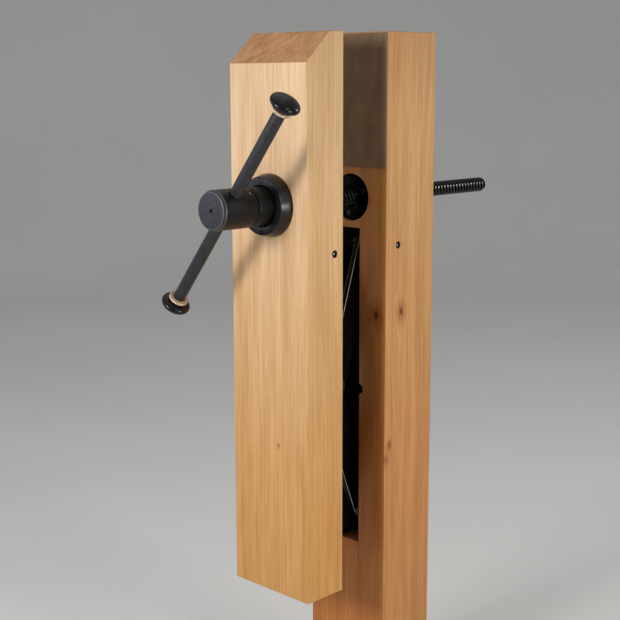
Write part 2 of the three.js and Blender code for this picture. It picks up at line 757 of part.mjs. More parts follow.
// The steel plate on a mortise's floor that a roller bears on, with its two screws.
// facing is +1 where the floor faces the front, and -1 where it faces the back.
function addWearPlate(parent, name, faceY, facing, side) {
  const plate = new THREE.Group();
  plate.position.set(0, faceY, 0);
  if (facing < 0) plate.rotation.z = Math.PI;
  const centreX = facing * HARDWARE_X;
  const body = box(
    [centreX - 12, 0, WEAR_PLATE_BOTTOM],
    [centreX + 12, WEAR_PLATE_THICKNESS, WEAR_PLATE_TOP],
  );
  const places = plateScrewPlaces(side).map(([x, z]) => [facing * x, z]);
  const seats = places.map(([x, z]) => screwSeat(WEAR_PLATE_THICKNESS).translate(x, 0, z));
  plate.add(piece(`${name}_wear_plate`, cut(body, ...seats), plainSteel));
  places.forEach(([x, z], i) => {
    const screw = piece(`${name}_plate_screw_${i + 1}`, woodScrew(17), plainSteel);
    plate.add(placed(screw, x, 0.1, z));
  });
  parent.add(plate);
}

// ---- Assembly ---------------------------------------------------------------------------

function addLeg(parent) {
  parent.add(placed(piece('leg_post', legPost(), wood), 0, LEG_FRONT, 0));
  parent.add(placed(piece('suede_liner', suedeLiner(), suede), 0, LEG_FRONT, 0));
  addNut(parent);
  addPivot(parent, 'leg', 1, LEG_PIN_Y);
  const plateFace = LEG_PIN_Y + ROLLER_RADIUS + CLEARANCE;
  addWearPlate(parent, 'leg', plateFace, 1, -1);
}

function addChop(parent) {
  parent.add(placed(piece('chop', chopBoard(), wood), 0, CHOP_BACK, 0));
  addFlange(parent);
  addPivot(parent, 'chop', -1, CHOP_PIN_Y);
  const plateFace = CHOP_PIN_Y - ROLLER_RADIUS - CLEARANCE;
  addWearPlate(parent, 'chop', plateFace, -1, 1);
}

function addCrossedArms(parent) {
  const boltBore = CENTRE_BOLT_RADIUS + CLEARANCE;
  const legArm = addArm(parent, 'leg', 1, LEG_PIN_Y, -ARM_TILT, boltBore);
  addCentreBolt(legArm);
  addArm(parent, 'chop', -1, CHOP_PIN_Y, ARM_TILT, CENTRE_SLOT_RADIUS);
}

const group = new THREE.Group();
addLeg(group);
addChop(group);
addScrewTrain(group);
addHandle(group);
addCrossedArms(group);

export default group;
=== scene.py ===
"""Looks for a wooden leg vise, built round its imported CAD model.

Places and sizes come from the CAD nodes. Every node is replaced by a finer piece in the same
place: planed boards with eased edges, turned and drilled steel, a two-start thread on the
screw, suede, leather, and the crossed arms in their slots. Lengths are in metres.
"""

import json
import math

import bmesh
import bpy
from mathutils import Matrix, Vector, noise


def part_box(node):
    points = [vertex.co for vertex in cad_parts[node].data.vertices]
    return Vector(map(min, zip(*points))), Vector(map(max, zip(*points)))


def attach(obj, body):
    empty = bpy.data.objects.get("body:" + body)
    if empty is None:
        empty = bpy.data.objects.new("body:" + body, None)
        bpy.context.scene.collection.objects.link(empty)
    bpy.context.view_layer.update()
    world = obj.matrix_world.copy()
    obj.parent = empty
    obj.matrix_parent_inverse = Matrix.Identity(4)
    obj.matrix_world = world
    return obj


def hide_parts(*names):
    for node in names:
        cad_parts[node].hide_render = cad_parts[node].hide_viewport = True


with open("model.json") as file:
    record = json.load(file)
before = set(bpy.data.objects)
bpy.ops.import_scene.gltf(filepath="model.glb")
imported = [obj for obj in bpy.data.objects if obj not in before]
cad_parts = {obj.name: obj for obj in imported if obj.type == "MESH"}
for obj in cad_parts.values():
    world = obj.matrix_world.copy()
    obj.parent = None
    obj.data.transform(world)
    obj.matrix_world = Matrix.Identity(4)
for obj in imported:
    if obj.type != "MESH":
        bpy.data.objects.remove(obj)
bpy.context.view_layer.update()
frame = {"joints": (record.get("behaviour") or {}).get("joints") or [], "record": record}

RECORD = frame["record"]
JOINTS = {joint["name"]: joint for joint in frame["joints"]}
SLOT = {part["node"]: part["material_slot"] for part in RECORD["subparts"]}
BODY = {node: body for body, nodes in RECORD["behaviour"]["bodies"].items() for node in nodes}

# ---- Dimensions ---------------------------------------------------------------------------

MM = 0.001
OVERCUT = 1 * MM  # how far a cutting tool runs past the face that it enters
THROUGH = 30 * MM  # half the length of a tool that goes right through a piece

# Boards
ARRIS = 0.8 * MM
CUT_EDGE = 0.35 * MM
BEVEL_DEPTH = 37 * MM
BEVEL_HEIGHT = 35 * MM
SLOT_HALF_WIDTH = 15 * MM
SLOT_BOTTOM = 229 * MM
SLOT_TOP = 631 * MM
LEG_SLOT_DEPTH = 38.05 * MM
CHOP_SLOT_DEPTH = 29.45 * MM
RELIEF_HEIGHT = 430 * MM
RELIEF_RADIUS = 6.2 * MM
LEG_RELIEF_DEPTH = 13.5 * MM
CHOP_RELIEF_DEPTH = 6.75 * MM
LINER_COLUMNS = 90
LINER_ROWS = 116
PIN_BORE_RADIUS = 4.4 * MM
PIN_BORE_LENGTH = 105 * MM
SCREW_BORE_RADIUS = 11 * MM
FLANGE_POCKET_RADIUS = 24 * MM
FLANGE_POCKET_DEPTH = 11.5 * MM
NUT_FLANGE_POCKET_DEPTH = 7 * MM
NUT_BODY_POCKET_DEPTH = 45.5 * MM

# Screw train
SCREW_RADIUS = 9.5 * MM
THREAD_PITCH = 6.35 * MM
THREAD_STARTS = 2
THREAD_DEPTH = 2.6 * MM
THREAD_SIDES = 64
THREAD_CHAMFER = 0.36 * MM
SCREW_END_ROUND = 5 * MM
HUB_RADIUS = 22.8 * MM
HUB_HEAD = 51 * MM
HUB_CHAMFER = 1.9 * MM
HUB_CHAMFER_LENGTH = 3.4 * MM
HUB_SHOULDER = 81.4 * MM
HUB_SOCKET = 35 * MM
HUB_GRUB_HEIGHT = HUB_HEAD - 4.5 * MM
HUB_GRUB_RADIUS = 2.1 * MM
BAR_FROM_HUB_FACE = 24.3 * MM
BAR_MOUTH_DEPTH = 4.6 * MM
NECK_RADIUS = 15 * MM
COLLAR_WALL = 6.5 * MM
COLLAR_GRUB_RADIUS = 2.3 * MM
FLANGE_RADIUS = 36.2 * MM
FLANGE_FACE_RADIUS = 33.3 * MM
FLANGE_EDGE = 3.9 * MM
FLANGE_THICKNESS = 16 * MM
FLANGE_SCREW_CIRCLE = 28.9 * MM
NUT_FLANGE_RADIUS = 28.2 * MM
NUT_BODY_RADIUS = 17 * MM
NUT_SCREW_CIRCLE = 20.4 * MM
NUT_SCREW_TURN = 20

# Handle
BAR_RADIUS = 7.15 * MM
BAR_HALF_SPAN = 138 * MM
BAR_SHIFT = -0.5 * MM
BAR_TENON = 8 * MM
KNOB_RADIUS = 17.4 * MM
KNOB_HEIGHT = 14.8 * MM
KNOB_RIM_HEIGHT = 7 * MM
KNOB_COLLAR_RADIUS = 9.8 * MM
KNOB_COLLAR_HEIGHT = 2.2 * MM
GRIP_WASHER_RADIUS = 11.6 * MM
GRIP_WASHER_THICKNESS = 3.3 * MM

# Crossed arms
ARM_HALF_LENGTH = 183.6 * MM
ARM_HALF_WIDTH = 15 * MM
ARM_FOOT_RADIUS = 10.5 * MM
ARM_TAPER_LENGTH = 60 * MM
ARM_INNER_FACE = 0.4 * MM
ARM_OUTER_FACE = 7.4 * MM
PIN_RADIUS = 4 * MM
BUSHING_RADIUS = 6.7 * MM
ROLLER_RADIUS = 12 * MM
ROLLER_WIDTH = 7 * MM
ROLLER_PIN_REACH = 9.4 * MM
ROLLER_PIN_HEAD = 2.2 * MM
CENTRE_BOLT_RADIUS = 5 * MM
CENTRE_SLOT_RADIUS = 9.3 * MM
CENTRE_HEX_RADIUS = 7.2 * MM
CENTRE_WASHER_RADIUS = 13.6 * MM
CENTRE_HEX_HEIGHT = 4.9 * MM
WASHER_THICKNESS = 1.7 * MM
SPACER_RADIUS = 8 * MM
GAP = 0.3 * MM  # between pieces that don't touch
EASE = 0.15 * MM  # between a pin and what turns on it

# Fasteners
SCREW_HEAD_RADIUS = 3.5 * MM
SCREW_SHANK_RADIUS = 2 * MM
SCREW_HEAD_DEPTH = 2.4 * MM
SCREW_HEAD_SINK = 0.05 * MM
WEAR_SCREW_SINK = 0.1 * MM
FLANGE_SCREW_LENGTH = 34 * MM
NUT_SCREW_LENGTH = 29 * MM
WEAR_SCREW_LENGTH = 17 * MM
PIN_GRUB_RADIUS = 4.1 * MM
PIN_GRUB_LENGTH = 8 * MM
PIN_GRUB_RECESS = 0.5 * MM

# Stage
FLOOR_RADIUS = 3.2
WALL_RADIUS = 5.0
WALL_HEIGHT = 4.5

WORLD_STRENGTH = 0.35

# Camera
CAMERA_AZIMUTH = 44.24
CAMERA_ELEVATION = 10.5
CAMERA_ROLL = -0.15
CAMERA_TARGET = Vector((-0.0142, -0.0971, 0.5326))
CAMERA_DISTANCE = 1.5
CAMERA_LENS = 71.4

# ---- Places from the frame ----------------------------------------------------------------

RIGHT = Vector((1, 0, 0))
BACK = Vector((0, 1, 0))
UP = Vector((0, 0, 1))


def low(node):
    """The left front bottom corner of a CAD node's box."""
    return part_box(node)[0]


def high(node):
    """The right back top corner of a CAD node's box."""
    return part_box(node)[1]


def middle(node):
    return (low(node) + high(node)) / 2


HARDWARE_X = middle("vise_screw").x
SCREW_Z = middle("vise_screw").z
LEG_FRONT = low("leg_post").y
CHOP_BACK = high("chop").y
CHOP_FRONT = low("chop").y
HUB_FACE = low("hub").y
BAR_DIRECTION = Vector(JOINTS["handle_slide"]["axis"])
LEG_PIVOT = Vector(JOINTS["leg_arm_swing"]["pos_m"])
CHOP_PIVOT = Vector(JOINTS["chop_arm_swing"]["pos_m"])
ARM_TILT = math.asin((LEG_PIVOT.y - CHOP_PIVOT.y) / (2 * ARM_HALF_LENGTH))


def at_screw(y):
    """A point on the screw's axis."""
    return Vector((HARDWARE_X, y, SCREW_Z))


def on_screw(y):
    """A placing on the screw's axis, with local Z to the back and local X to the right."""
    return frame_at(at_screw(y), BACK, RIGHT)


def frame_at(origin, axis, across):
    """A placing whose local Z is along axis and whose local X is as near across as it can be."""
    z = Vector(axis).normalized()
    x = Vector(across)
    x = (x - x.dot(z) * z).normalized()
    turn = Matrix((x, z.cross(x), z)).transposed()
    return Matrix.Translation(origin) @ turn.to_4x4()


# Lights: name, place, target, size, watts, colour, spread in degrees
CHEST = Vector((0, -0.1, 0.6))
WAIST = Vector((0, -0.1, 0.48))
WARM = (1.0, 0.97, 0.93)
LIGHTS = (
    ("key", (0.0, -1.75, 1.0), CHEST, (0.46, 0.46), 9.0, (1.0, 0.975, 0.94), 130),
    ("left", (-1.75, -1.55, 0.95), CHEST, (1.2, 1.2), 2.9, (0.86, 0.93, 1.0), 130),
    ("fill", (2.1, 0.1, 0.58), WAIST, (0.65, 0.5), 4.3, (1.0, 0.935, 0.81), 100),
    ("kicker", (1.8, -0.2, 1.6), at_screw(0), (0.16, 0.4), 3.2, WARM, 180),
    ("rim", (1.07, 1.72, 1.3), at_screw(0.15), (0.34, 0.4), 7.0, WARM, 180),
    ("overhead", (-0.3, 0.2, 2.9), CHEST, (2.2, 2.2), 6.5, (1.0, 1.0, 1.0), 180),
)


# ---- Mesh helpers -------------------------------------------------------------------------

SHARP_ANGLE = math.radians(32)
CORNER_STEPS = 3


def object_from(name, work, sharp=SHARP_ANGLE):
    """A Blender object from a bmesh, smooth but for its sharp edges."""
    bmesh.ops.recalc_face_normals(work, faces=work.faces)
    mesh = bpy.data.meshes.new(name)
    work.to_mesh(mesh)
    work.free()
    thing = bpy.data.objects.new(name, mesh)
    bpy.context.scene.collection.objects.link(thing)
    shade(thing, sharp)
    return thing


def shade(thing, sharp=SHARP_ANGLE):
    """Smooth faces, with a hard line wherever two faces meet at a real edge."""
    work = bmesh.new()
    work.from_mesh(thing.data)
    for face in work.faces:
        face.smooth = True
    for edge in work.edges:
        edge.smooth = edge.is_manifold and edge.calc_face_angle(0) < sharp
    work.to_mesh(thing.data)
    work.free()


def settle(thing):
    """Makes the mesh what its modifiers give, and clears them."""
    graph = bpy.context.evaluated_depsgraph_get()
    mesh = bpy.data.meshes.new_from_object(thing.evaluated_get(graph))
    thing.modifiers.clear()
    thing.data = mesh
    shade(thing)


def combine(thing, operation, *others):
    """Cuts the other shapes out of a piece or joins them to it, and removes them."""
    for other in others:
        step = thing.modifiers.new(operation, "BOOLEAN")
        step.operation = operation
        step.solver = "MANIFOLD"
        step.object = other
    settle(thing)
    for other in others:
        bpy.data.objects.remove(other)
    return thing


def cut(thing, *tools):
    """Cuts the tools out of a piece."""
    return combine(thing, "DIFFERENCE", *tools)


def triangulate(thing):
    """Splits every face into triangles, which a second cut needs on faces that have holes."""
    work = bmesh.new()
    work.from_mesh(thing.data)
    bmesh.ops.triangulate(work, faces=work.faces)
    work.to_mesh(thing.data)
    work.free()


def ease_edges(thing, width, segments=2):
    """Rounds over the sharp edges by a small radius."""
    step = thing.modifiers.new("eased edges", "BEVEL")
    step.width = width
    step.segments = segments
    step.limit_method = "ANGLE"
    step.angle_limit = math.radians(50)
    step.use_clamp_overlap = False
    step.miter_outer = "MITER_ARC"
    settle(thing)
    return thing


def rounded(points, closed):
    """An outline of (a, b) points. A third number rounds that corner by about that radius."""
    out = []
    count = len(points)
    for i, point in enumerate(points):
        here = Vector(point[:2])
        inside = closed or 0 < i < count - 1
        if len(point) < 3 or not inside:
            out.append(here)
            continue
        before = Vector(points[i - 1][:2])
        after = Vector(points[(i + 1) % count][:2])
        reach = min(point[2], 0.45 * (before - here).length, 0.45 * (after - here).length)
        start = here + (before - here).normalized() * reach
        end = here + (after - here).normalized() * reach
        for step in range(CORNER_STEPS + 1):
            t = step / CORNER_STEPS
            out.append((1 - t) ** 2 * start + 2 * t * (1 - t) * here + t ** 2 * end)
    return out


def arc(centre_r, centre_z, radius_r, radius_z, start, end, steps):
    """Points on part of an ellipse, from one angle to another in degrees."""
    angles = [math.radians(start + (end - start) * i / steps) for i in range(steps + 1)]
    return [
        (centre_r + radius_r * math.cos(a), centre_z + radius_z * math.sin(a)) for a in angles
    ]


def turned(name, profile, sides=96, closed=False):
    """A piece turned round local Z from (radius, height) points. Unless it is closed, the
    profile starts and ends on the axis."""
    work = bmesh.new()
    rings = []
    for radius, height in rounded(profile, closed):
        if radius < 1e-7:
            rings.append([work.verts.new((0, 0, height))] * sides)
            continue
        angles = [2 * math.pi * i / sides for i in range(sides)]
        rings.append(
            [work.verts.new((radius * math.cos(a), radius * math.sin(a), height)) for a in angles]
        )
    pairs = list(zip(rings, rings[1:]))
    if closed:
        pairs.append((rings[-1], rings[0]))
    for first, second in pairs:
        for i in range(sides):
            corner = [first[i], first[(i + 1) % sides], second[(i + 1) % sides], second[i]]
            face = [v for k, v in enumerate(corner) if v not in corner[:k]]
            if len(face) > 2:
                work.faces.new(face)
    return object_from(name, work)


def ring(name, inner, outer, start, end, fillet=0.2 * MM, sides=64):
    """A washer or bush between two radii and two heights, with broken edges."""
    profile = [(inner, start, fillet), (outer, start, fillet)]
    profile += [(outer, end, fillet), (inner, end, fillet)]
    return turned(name, profile, sides, closed=True)


def rod(radius, start, end, sides=48):
    """A plain round tool for cutting, along local Z."""
    return turned("tool", [(0, start), (radius, start), (radius, end), (0, end)], sides)


def fit(work, lo, hi):
    """Stretches a unit cube to a box."""
    for vertex in work.verts:
        share = vertex.co + Vector((0.5, 0.5, 0.5))
        vertex.co = Vector(lo[i] + (hi[i] - lo[i]) * share[i] for i in range(3))


def block(corner_a, corner_b, name="tool"):
    """A box between two corners, given in any order."""
    work = bmesh.new()
    bmesh.ops.create_cube(work, size=1)
    fit(work, Vector(map(min, corner_a, corner_b)), Vector(map(max, corner_a, corner_b)))
    return object_from(name, work)


def enclose(work, bottom, top):
    """The faces of a solid between two rings of points that match one to one."""
    work.faces.new(bottom)
    work.faces.new(top)
    for i in range(len(bottom)):
        j = (i + 1) % len(bottom)
        work.faces.new((bottom[i], bottom[j], top[j], top[i]))


def prism(name, outline, start, end):
    """An outline in local X and Y, raised along local Z."""
    work = bmesh.new()
    enclose(work, *[[work.verts.new((x, y, z)) for x, y in outline] for z in (start, end)])
    return object_from(name, work)


def moved(thing, matrix):
    """Moves the mesh itself, so that the object stays where it is."""
    thing.data.transform(matrix)
    return thing


def hexagon(radius, start, end):
    """A six-sided rod along local Z, measured to its corners."""
    angles = [math.radians(60 * i) for i in range(6)]
    outline = [(radius * math.cos(a), radius * math.sin(a)) for a in angles]
    return prism("tool", outline, start, end)


def stand_in(thing, node, material, matrix=Matrix.Identity(4)):
    """Puts a finished piece in the place of a CAD node."""
    thing.name = f"fine_{node}"
    thing.data.name = thing.name
    thing.matrix_world = matrix
    thing.data.materials.clear()
    thing.data.materials.append(material)
    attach(thing, BODY[node])
    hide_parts(node)
    return thing


# ---- Material helpers ---------------------------------------------------------------------


class Shader:
    """A material's node tree, with short calls for the nodes that are used here."""

    def __init__(self, name):
        self.material = bpy.data.materials.new(name)
        self.material.use_nodes = True
        self.tree = self.material.node_tree
        self.surface = self.tree.nodes["Principled BSDF"]
        coordinates = self.tree.nodes.new("ShaderNodeTexCoord")
        self.place = coordinates.outputs["Object"]
        self.facing = coordinates.outputs["Normal"]

    def put(self, socket, value):
        """Gives an input a value, or joins it to another node's output."""
        if isinstance(value, bpy.types.NodeSocket):
            self.tree.links.new(value, socket)
        elif socket.type == "RGBA" and len(value) == 3:
            socket.default_value = (*value, 1)
        else:
            socket.default_value = value

    def node(self, kind, inputs, **settings):
        """A new node of a kind, with its inputs and its settings."""
        made = self.tree.nodes.new(kind)
        for key, value in settings.items():
            setattr(made, key, value)
        for key, value in inputs.items():
            self.put(made.inputs[key], value)
        return made

    def math(self, operation, a, b=0.0):
        return self.node("ShaderNodeMath", {0: a, 1: b}, operation=operation).outputs[0]

    def total(self, *terms):
        result = terms[0]
        for term in terms[1:]:
            result = self.math("ADD", result, term)
        return result

    def minus(self, a, b):
        return self.math("SUBTRACT", a, b)

    def times(self, a, b):
        return self.math("MULTIPLY", a, b)

    def size(self, value):
        """How large a number is without its sign."""
        return self.math("ABSOLUTE", value)

    def vector(self, operation, a, b=(0, 0, 0)):
        made = self.node("ShaderNodeVectorMath", {0: a, 1: b}, operation=operation)
        return made.outputs["Value" if operation == "LENGTH" else "Vector"]

    def axes(self, vector):
        return self.node("ShaderNodeSeparateXYZ", {0: vector}).outputs

    def join(self, x, y, z):
        return self.node("ShaderNodeCombineXYZ", {0: x, 1: y, 2: z}).outputs[0]

    def noise(self, vector, scale, detail=3, roughness=0.55, distortion=0, output="Fac"):
        """Noise whose scale is one number, or one for each axis."""
        if not isinstance(scale, tuple):
            scale = (scale,) * 3
        inputs = {"Vector": self.vector("MULTIPLY", vector, scale), "Scale": 1, "Detail": detail}
        inputs |= {"Roughness": roughness, "Distortion": distortion}
        return self.node("ShaderNodeTexNoise", inputs).outputs[output]

    def lines(self, distance, scale, detail=2, roughness=0.5):
        """Noise along one distance, which gives irregular parallel lines or rings."""
        inputs = {"W": distance, "Scale": scale, "Detail": detail, "Roughness": roughness}
        return self.node("ShaderNodeTexNoise", inputs, noise_dimensions="1D").outputs["Fac"]

    def ramp(self, value, start, end, low=0.0, high=1.0):
        """A value between start and end, eased into low to high."""
        inputs = {"Value": value, "From Min": start, "From Max": end}
        inputs |= {"To Min": low, "To Max": high}
        made = self.node("ShaderNodeMapRange", inputs, interpolation_type="SMOOTHSTEP")
        return made.outputs[0]

    def mix(self, factor, a, b, blend="MIX"):
        inputs = {0: factor, 6: a, 7: b}
        return self.node("ShaderNodeMix", inputs, data_type="RGBA", blend_type=blend).outputs[2]

    def tint(self, factor, colour, by):
        return self.mix(factor, colour, by, "MULTIPLY")

    def bump(self, height, distance, strength):
        inputs = {"Height": height, "Distance": distance, "Strength": strength}
        self.put(self.surface.inputs["Normal"], self.node("ShaderNodeBump", inputs).outputs[0])

    def set(self, **sockets):
        """Sets the surface's inputs, with _ for the spaces in their names."""
        for key, value in sockets.items():
            self.put(self.surface.inputs[key.replace("_", " ")], value)


# ---- Wood ---------------------------------------------------------------------------------


def wood(name, pale, deep, foot_pale, foot_deep, heart, knots=(), streak=None, front=None,
         side=None, slot_shade_box=None):
    """Planed hardwood with its grain along Z.

    pale and deep are its tones at the top and foot_pale and foot_deep at the foot, heart is the
    (x, y) line that the growth rings lie round, knots are (point, radius) pairs, streak is where
    a paler band starts, front is the Y of a face that is painted darker and redder as shade, side
    is painted light and shade on the faces across X, changing up the board, as (start, end, lower
    tint, upper tint), and slot_shade_box is the box of a slot whose inside is painted near-black
    as shade."""
    s = Shader(name)
    wander = s.noise(s.place, (7, 7, 1.6), detail=2, output="Color")
    drift = s.vector("MULTIPLY", s.vector("SUBTRACT", wander, (0.5, 0.5, 0.5)), (0.012,) * 3)
    point = s.vector("ADD", s.place, drift)
    point, knot_dark, knot_ring = bent_round(s, point, knots)
    x, y, z = s.axes(point)
    off_heart = s.join(s.minus(x, heart[0]), s.minus(y, heart[1]), s.times(z, 0.03))
    from_heart = s.vector("LENGTH", off_heart)
    rings = s.lines(from_heart, 430, detail=3, roughness=0.62)
    bands = s.noise(point, (75, 75, 4.5), detail=2)
    streaks = s.noise(point, (330, 330, 13), detail=3, roughness=0.6)
    fibres = s.noise(point, (1000, 1000, 34), detail=4, roughness=0.65)
    pores = s.ramp(s.noise(point, (1700, 1700, 90), detail=1), 0.68, 0.76)
    hue = s.noise(s.vector("ADD", point, (0.3, 0.1, 0.2)), (120, 120, 7), detail=3)
    grain = s.total(s.times(bands, 0.34), s.times(streaks, 0.33), s.times(fibres, 0.19),
                    s.times(rings, 0.14))
    tone = s.ramp(grain, 0.38, 0.63)
    height = s.ramp(s.axes(s.place)[2], 0.22, 0.84)
    colour = s.mix(height, s.mix(tone, foot_deep, foot_pale), s.mix(tone, deep, pale))
    colour = s.tint(s.ramp(hue, 0.36, 0.64), colour, (0.995, 0.955, 0.87))
    colour = s.tint(s.times(pores, 0.26), colour, (0.60, 0.46, 0.33))
    if streak:
        colour = streaked(s, colour, *streak)
    swirl = s.ramp(s.lines(from_heart, 900, detail=2), 0.3, 0.65, 0.3, 0.75)
    colour = s.tint(s.times(knot_ring, swirl), colour, (0.58, 0.31, 0.15))
    colour = s.mix(s.times(knot_dark, 0.86), colour, (0.11, 0.035, 0.014))
    sawn = s.ramp(s.size(s.axes(s.facing)[2]), 0.45, 0.62)
    end_grain = s.total(s.times(rings, 0.55), s.times(bands, 0.25), s.times(streaks, 0.2))
    end_tone = s.mix(s.ramp(end_grain, 0.38, 0.62), (0.52, 0.365, 0.25), (0.68, 0.53, 0.39))
    colour = s.tint(sawn, colour, end_tone)
    # Painted shade: the face at front is tinted darker and redder.
    if front:
        shaded = s.ramp(s.axes(s.place)[1], front + 0.4 * MM, front + 0.1 * MM)
        colour = s.tint(shaded, colour, (0.86, 0.68, 0.46))
    # Painted light and shade: the faces across X are tinted from the lower to the upper tint up
    # the board, darker towards the top.
    if side:
        start, end, lower_painted_light, upper_painted_light = side
        tint = s.mix(s.ramp(s.axes(s.place)[2], start, end), lower_painted_light, upper_painted_light)
        sideways = s.ramp(s.size(s.axes(s.facing)[0]), 0.75, 0.9)
        colour = s.tint(sideways, colour, tint)
    # Painted shade: inside the slot's box the wood is painted near-black.
    if slot_shade_box:
        painted_slot_shade = inside_box(s, *slot_shade_box)
        colour = s.mix(painted_slot_shade, colour, (0.003, 0.0027, 0.0025))
    relief = s.total(s.times(fibres, 0.7), s.times(streaks, 0.2), s.times(pores, -0.6),
                     s.times(knot_dark, 0.8))
    s.bump(relief, 0.00006, 0.55)
    gloss = s.ramp(fibres, 0.3, 0.7, 0.50, 0.62)
    if slot_shade_box:
        gloss = s.math("ADD", gloss, s.times(painted_slot_shade, 0.35))
    s.set(Base_Color=colour, Roughness=gloss, Specular_IOR_Level=0.32)
    return s.material


def bent_round(s, point, knots):
    """Bends the grain round the knots. Also gives 1 inside a knot, and 1 close round one."""
    core = 0.0
    ring_zone = 0.0
    for centre, radius in knots:
        away = s.vector("MULTIPLY", s.vector("SUBTRACT", s.place, centre), (1, 1, 0.62))
        distance = s.vector("LENGTH", away)
        push = s.ramp(distance, radius * 7, radius * 0.4, 0.0, radius * 1.6)
        point = s.vector("ADD", point, s.join(push, push, 0.0))
        core = s.math("MAXIMUM", s.ramp(distance, radius * 1.25, radius * 0.45), core)
        ring_zone = s.math("MAXIMUM", s.ramp(distance, radius * 4.5, radius), ring_zone)
    return point, core, ring_zone


def streaked(s, colour, start_x, top, lean, curve):
    """A band of paler wood to the right of a line that leans as it goes down the board."""
    x, _, z = s.axes(s.place)
    down = s.minus(top, z)
    line = s.total(start_x, s.times(down, lean), s.times(s.times(down, down), curve))
    wobble = s.times(s.minus(s.lines(z, 30), 0.5), 0.0016)
    beyond = s.minus(x, s.math("ADD", line, wobble))
    seam = s.ramp(s.size(beyond), 0.00085, 0.0001)
    pale = s.times(s.ramp(beyond, -0.0001, 0.0003), s.ramp(beyond, 0.045, 0.004))
    colour = s.tint(s.times(pale, 0.5), colour, (1.07, 1.10, 1.15))
    return s.tint(s.times(seam, 0.32), colour, (0.58, 0.42, 0.28))


def inside_box(s, low_corner, high_corner):
    """1 well inside a box, and 0 outside it."""
    soft = 0.2 * MM
    inside = 1.0
    for value, low_edge, high_edge in zip(s.axes(s.place), low_corner, high_corner):
        above = s.ramp(value, low_edge - soft, low_edge + soft)
        below = s.ramp(value, high_edge + soft, high_edge - soft)
        inside = s.times(s.times(above, below), inside)
    return inside


# ---- Other materials ----------------------------------------------------------------------


def from_axis(s):
    """The distance from local Z, and the height along it."""
    x, y, z = s.axes(s.place)
    return s.vector("LENGTH", s.join(x, y, 0.0)), z


def scaled(tone, by):
    """A colour with each of its channels multiplied by a number."""
    return tuple(by * channel for channel in tone)


def black_steel(name, tone=(0.040, 0.041, 0.045), rough=0.42, marks=0.5, wear=1.0,
                darker=None, rubbed=()):
    """Black oxide on turned steel, with fine tool rings round local Z and a mottle of wear.
    darker is a height on local Z, and the share of the tone that is left beyond it: painted
    shade that darkens whatever lies past that height. rubbed holds the (radius, height) of each
    edge that is worn bright."""
    s = Shader(name)
    radius, height = from_axis(s)
    tool = s.lines(s.total(radius, height), 2600, detail=2, roughness=0.6)
    mottle = s.noise(s.place, 150, detail=4, roughness=0.6)
    specks = s.ramp(s.noise(s.place, 1500, detail=1), 0.70, 0.78)
    colour = s.mix(s.ramp(mottle, 0.35, 0.7, 0.0, 0.6 * wear), tone, scaled(tone, 1.7))
    colour = s.mix(s.times(specks, 0.4 * wear), colour, scaled(tone, 3))
    # Painted shade: past the given height the colour is darkened to the given share.
    if darker:
        start, share = darker
        beyond = s.ramp(height, start, start + 0.3 * MM)
        colour = s.tint(beyond, colour, (share, share, 0.92 * share))
    for edge_radius, edge_height in rubbed:
        from_edge = s.join(s.minus(radius, edge_radius), s.minus(height, edge_height), 0.0)
        worn_edge = s.ramp(s.vector("LENGTH", from_edge), 0.5 * MM, 0.2 * MM, 0.0, 0.8)
        colour = s.mix(worn_edge, colour, (0.25, 0.25, 0.26))
    uneven = s.ramp(mottle, 0.3, 0.7, rough - 0.05 * wear, rough + 0.07 * wear)
    roughness = s.total(uneven, s.times(specks, 0.1 * wear))
    s.bump(s.total(s.times(tool, marks), s.times(mottle, 0.12 * wear)), 0.00003, 0.5)
    s.set(Base_Color=colour, Metallic=0.75, Roughness=roughness, Specular_IOR_Level=0.45)
    return s.material


def plate_steel(name, tone=(0.004, 0.004, 0.0045)):
    """Black oxide on hot-rolled plate that lies across local X: a slight scale, long polishing
    lines, and edges rubbed bright."""
    s = Shader(name)
    brushed = s.noise(s.place, (1400, 1400, 30), detail=3)
    scale = s.noise(s.place, (90, 90, 60), detail=5, roughness=0.65)
    colour = s.mix(s.ramp(scale, 0.35, 0.7), tone, scaled(tone, 1.8))
    across = s.size(s.axes(s.facing)[0])
    edge = s.times(s.ramp(across, 0.15, 0.4), s.ramp(across, 0.98, 0.85))
    colour = s.mix(edge, colour, (0.62, 0.63, 0.62))
    s.bump(s.total(s.times(brushed, 0.5), scale), 0.00004, 0.45)
    s.set(Base_Color=colour, Metallic=s.ramp(edge, 0.0, 1.0, 0.3, 1.0))
    s.set(Roughness=s.ramp(scale, 0.3, 0.7, 0.30, 0.42), Specular_IOR_Level=0.03)
    return s.material


def gloss_black(name, tone=(0.010, 0.010, 0.011), rough=0.16, shine=0.42, rubbed=None,
                socket=None):
    """Polished and oiled black steel. rubbed is the radius from local Z where it is worn, and
    socket the radius within which a bright steel spot is painted at the bottom of a key socket as
    a glint."""
    s = Shader(name)
    smear = s.noise(s.place, 110, detail=4, roughness=0.6, distortion=0.6)
    dust = s.ramp(s.noise(s.place, 2200, detail=0), 0.74, 0.8)
    colour = s.mix(s.times(dust, 0.35), tone, scaled(tone, 9))
    if rubbed:
        worn = s.ramp(from_axis(s)[0], rubbed - 0.7 * MM, rubbed - 0.05 * MM)
        colour = s.mix(worn, colour, (0.022, 0.022, 0.022))
    # Painted glint: a bright steel spot at the centre of the socket's bottom.
    if socket:
        bare = s.ramp(from_axis(s)[0], socket, socket - 0.3 * MM)
        colour = s.mix(bare, colour, (0.75, 0.75, 0.76))
    roughness = s.total(s.ramp(smear, 0.35, 0.7, rough, rough + 0.1), s.times(dust, 0.25))
    s.bump(smear, 0.00003, 0.25)
    s.set(Base_Color=colour, Metallic=0.4, Roughness=roughness, Specular_IOR_Level=shine)
    return s.material


